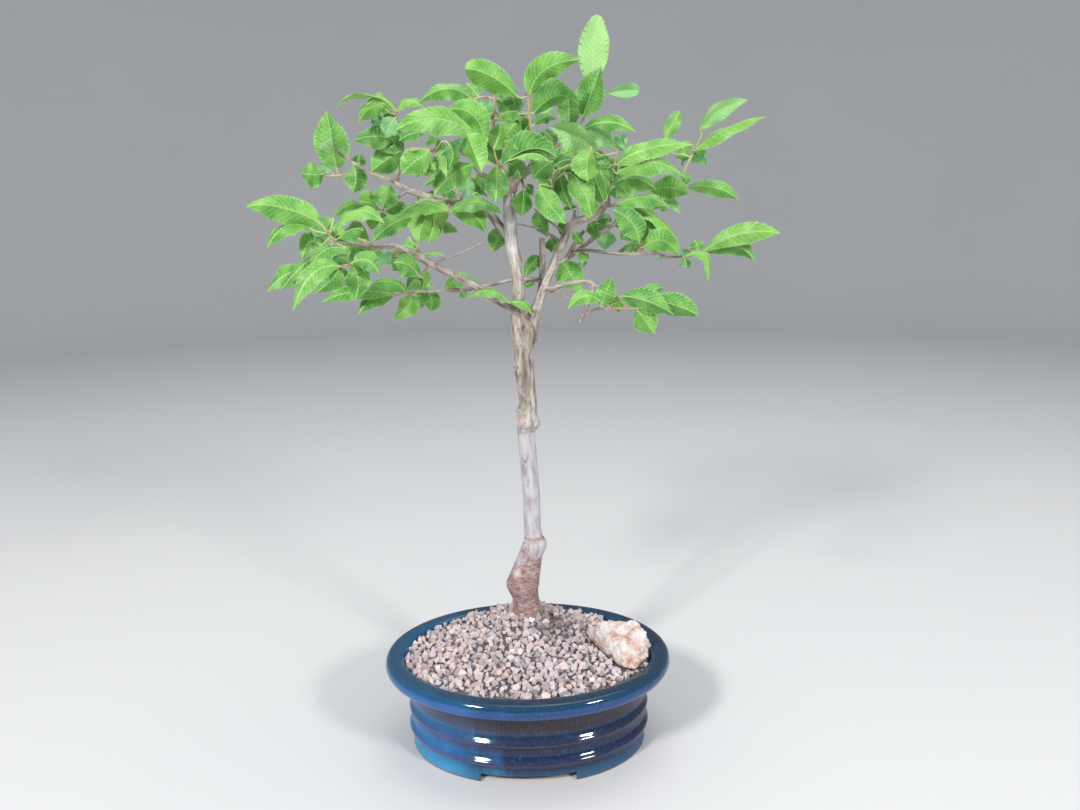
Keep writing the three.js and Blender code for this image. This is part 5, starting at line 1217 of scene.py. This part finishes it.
def grain_shapes(rng):
    """Angular grains: the convex hulls of points on a lumpy ball about 1 across, with few faces."""
    shapes, count = [], GRAIN["corners"]
    for _ in range(GRAIN["shapes"]):
        ball = unit(rng.normal(size=(count, 3))) * rng.uniform(0.42, 0.56, (count, 1))
        bm = hull_of(ball * rng.uniform(0.9, 1.1, (count, 3)))
        corners = np.array([vertex.co for vertex in bm.verts])
        shapes.append((corners, [[vertex.index for vertex in face.verts] for face in bm.faces]))
        bm.free()
    return shapes


def turns(rng, count):
    """Random rotations, as matrices made from unit quaternions."""
    a, b, c, d = unit(rng.normal(size=(count, 4))).T
    return np.stack([
        1 - 2 * (c * c + d * d), 2 * (b * c - d * a), 2 * (b * d + c * a),
        2 * (b * c + d * a), 1 - 2 * (b * b + d * d), 2 * (c * d - b * a),
        2 * (b * d - c * a), 2 * (c * d + b * a), 1 - 2 * (b * b + c * c),
    ], axis=-1).reshape(-1, 3, 3)


def stone_planes():
    """The stone's middle, and the unit normals and distances of its flat sides as seen from there."""
    corners = seen(*np.array(STONE_CORNERS, float).T)
    middle = corners.mean(axis=0)
    bm = hull_of(corners - middle)
    normals = np.array([face.normal for face in bm.faces])
    away = np.array([face.normal.dot(face.verts[0].co) for face in bm.faces])
    bm.free()
    return middle, normals, away


def gravel_filling():
    """The filling under the grains: rings up the wall of the pot, then inward over the mound.

    It is dark as painted shade, seen in the gaps between the grains and round the stone.
    """
    share = np.linspace(1, 0.02, 24)[:, None]
    angle = np.linspace(0, 2 * math.pi, SOIL_SIDES, endpoint=False)
    x = (POT_HALF[0] - SOIL_INSET) * share * np.cos(angle)
    y = (POT_HALF[1] - SOIL_INSET) * share * np.sin(angle)
    top = np.stack([x, y, soil_height(x, y) - SOIL_DEEPER], axis=-1) * MM + POT_MIDDLE
    rings = np.concatenate([oval_rings(SOIL_SIDE, SOIL_SIDES), top])
    # Dark: painted shade, seen through the gaps between the grains and round the stone
    dark = {"grain_tint": np.array([0.1, 0.3, 0])}
    return part_of(rings, ring_faces(len(rings), SOIL_SIDES), dark)


def grain_spots(rng, planes):
    """Middles of the grains in mm: two jittered honeycombs, clear of the rim, the trunk and the stone."""
    middle, normals, away = planes
    # The trunk's middle where it comes out of the gravel
    trunk = (seen(*TRUNK[2][:3]) - POT_MIDDLE)[:2] / MM
    space = GRAIN["space"]
    spots = []
    for layer in (0, 1):
        columns, rows = np.meshgrid(np.arange(*LAYER["across"]), np.arange(*LAYER["along"]))
        x = (columns + 0.5 * (rows % 2) + 0.5 * layer).ravel() * space
        y = (rows * LAYER["row"] + 0.3 * layer).ravel() * space
        x, y = (value + rng.uniform(-LAYER["jitter"], LAYER["jitter"], len(x)) * space for value in (x, y))
        spots.append(np.column_stack([x, y, soil_height(x, y) - LAYER["deeper"] * layer]))
    spots = np.concatenate(spots)
    x, y = spots[:, 0], spots[:, 1]
    long, broad = (half - GRAIN_ROOM["rim"] for half in POT_HALF)
    room = np.hypot(x / long, y / broad) < 1
    room &= np.hypot(x - trunk[0], y - trunk[1]) > GRAIN_ROOM["trunk"]
    past = ((spots * MM + POT_MIDDLE - middle) @ normals.T - away).max(axis=1)
    return spots[room & (past >= GRAIN_ROOM["stone"] * MM)]


def make_gravel(planes):
    """A dark filling under two layers of loose grains, each with its own shape, size, turn and shade.

    The filling's dark is painted shade between the grains; each grain's shade is its own tone.
    """
    rng = np.random.default_rng(GRAVEL_SEED)
    spots = grain_spots(rng, planes)
    count = len(spots)
    size = rng.uniform(GRAIN["smallest"], GRAIN["largest"], count)
    size = np.where(rng.random(count) < 0.3, size * 1.1, size * 0.92)
    spots[:, 2] += rng.uniform(-0.7, 0.9, count) - GRAIN["sink"] * size
    flat = rng.uniform(0.62, 1, (count, 3)) * size[:, None]
    shade = rng.uniform(0.85, 1.25, count)
    away = np.hypot(spots[:, 0] - DARK_SPOT["place"][0], spots[:, 1] - DARK_SPOT["place"][1])
    near = np.exp(-(away / DARK_SPOT["reach"]) ** 2)
    shade *= 1 - DARK_SPOT["most"] * near * (rng.random(count) < 0.85)
    tints = np.column_stack([rng.random(count), shade, np.zeros(count)])
    white = (seen(*WHITE_GRAIN) - POT_MIDDLE) / MM
    tints[np.linalg.norm(spots - white, axis=1).argmin()] = 1, 1.35, 0
    rotation = turns(rng, count)
    kinds = rng.integers(0, GRAIN["shapes"], count)
    parts = [gravel_filling()]
    for kind, (corners, sides) in enumerate(grain_shapes(rng)):
        chosen = np.flatnonzero(kinds == kind)
        shaped = corners[None] * flat[chosen, None]
        placed = (shaped @ rotation[chosen].transpose(0, 2, 1) + spots[chosen, None]) * MM + POT_MIDDLE
        starts = np.arange(len(chosen)) * len(corners)
        faces = [[corner + start for corner in side] for start in starts.tolist() for side in sides]
        parts.append(part_of(placed, faces, {"grain_tint": np.repeat(tints[chosen], len(corners), axis=0)}))
    grit = finish(volcanic_grit, "grain_tint", Roughness=0.92, IOR=1.5)
    piece("gravel_grains", mesh_of("gravel_grains", parts, [grit], crease=25), ["gravel"])


# The rock: points down and round it, how sharp its edges are, and its lumps by share of the reach, size in
# metres and seed
STONE_GRID = (73, 145)
STONE_SHARP = 90
STONE_LUMPS = [(0.06, 0.014, 4), (0.05, 0.006, 5), (0.03, 0.003, 6)]


def make_stone(planes):
    """The rock: its reach in a direction is the soft least of its flat sides' distances over the cosine.

    The soft least is the sum of (cosine / distance)^n to the power -1/n, where a large n keeps the edges
    sharp, and waves add pits and lumps.
    """
    middle, normals, away = planes
    down = np.linspace(0, math.pi, STONE_GRID[0])[1:-1, None]
    angle = np.linspace(0, 2 * math.pi, STONE_GRID[1])[:-1]
    ways = np.stack([np.sin(down) * np.cos(angle), np.sin(down) * np.sin(angle),
                     np.cos(down) * np.ones_like(angle)], axis=-1)
    facing = np.maximum(ways @ normals.T, 0) / away
    reach = (facing ** STONE_SHARP).sum(axis=-1) ** (-1 / STONE_SHARP)
    places = ways * reach[..., None]
    lumps = 1
    for height, size, seed in STONE_LUMPS:
        lumps = lumps + height * waves(places, size, seed)
    places = places * lumps[..., None] + middle
    part = part_of(places[::-1], ring_faces(*reach.shape))
    rock = finish(quartz_rock_rusty, Roughness=0.8, IOR=1.54)
    piece("rock", mesh_of("rock", [part], [rock], crease=30), ["stone"])


# The backdrop in metres: the flat floor's reach, the radius of its curve, and the wall's reach and heights
FLOOR = 3
CURVE = 1.2
WALL = {"reach": 4.25, "heights": [1.8, 3.2]}

# Lamps: name, place and aim in metres, size and watts
LAMPS = [
    ("window_left", (-1.1, -1.5, 1.5), (0, 0, 0.3), (0.32, 0.3), 36),
    ("window_right", (1.2, -1.3, 1.2), (0, 0, 0.25), (0.3, 0.28), 20),
    ("top_light", (0.2, 0.3, 2.2), (0, 0, 0.3), (1.4, 1.4), 16),
]


def make_room():
    """A pale floor that curves up into a wall far off all round, a soft sky and the lamps."""
    bend = np.linspace(0.1, 1.57, 14)
    floor = np.linspace(0.02, FLOOR, 12)
    reach = np.concatenate([floor, FLOOR + np.sin(bend) * CURVE, [WALL["reach"]] * 2])[:, None]
    climb = np.concatenate([0 * floor, CURVE - np.cos(bend) * CURVE, WALL["heights"]])[:, None]
    angle = np.linspace(0, 2 * math.pi, 96, endpoint=False)
    points = np.stack([reach * np.cos(angle), reach * np.sin(angle), climb + 0 * angle], axis=-1)
    index = np.arange(points.shape[0] * 96).reshape(-1, 96)
    faces = quads_of(np.hstack([index, index[:, :1]])) + [index[0].tolist()]
    mesh = bpy.data.meshes.new("backdrop")
    mesh.from_pydata(points.reshape(-1, 3).tolist(), [], faces)
    mesh.polygons.foreach_set("use_smooth", [True] * len(faces))
    mesh.materials.append(finish(pale_board, Roughness=0.9))
    room = bpy.data.objects.new("backdrop", mesh)
    bpy.context.scene.collection.objects.link(room)

    world = bpy.data.worlds.new("soft_sky")
    bpy.context.scene.world = world
    world.use_nodes = True
    sky = world.node_tree.nodes["Background"]
    sky.inputs["Color"].default_value = linear("#E9EEF4")
    sky.inputs["Strength"].default_value = 0.45
    for name, place, aim, size, power in LAMPS:
        data = bpy.data.lights.new(name, "AREA")
        data.shape, data.size, data.size_y, data.energy = "RECTANGLE", *size, power
        lamp = bpy.data.objects.new(name, data)
        way = Vector(aim) - Vector(place)
        lamp.matrix_world = Matrix.Translation(place) @ way.to_track_quat("-Z", "Y").to_matrix().to_4x4()
        bpy.context.scene.collection.objects.link(lamp)


def make_camera():
    """The camera at the eye point: 800 pixels of focal length over a frame 1080 wide is 26.67 mm on 36."""
    data = bpy.data.cameras.new("camera")
    data.sensor_width = 36
    data.lens = 36 * FOCAL / IMAGE[0]
    data.clip_start, data.clip_end = 0.01, 50
    camera = bpy.data.objects.new("camera", data)
    turn = np.column_stack([RIGHT, UP, -AHEAD])
    camera.matrix_world = Matrix.Translation(EYE) @ Matrix(turn.tolist()).to_4x4()
    bpy.context.scene.collection.objects.link(camera)
    bpy.context.scene.camera = camera


bpy.context.scene.view_settings.view_transform = "Standard"
make_camera()
planes = stone_planes()
make_leaves()
make_wood()
make_pot()
make_gravel(planes)
make_stone(planes)
make_room()
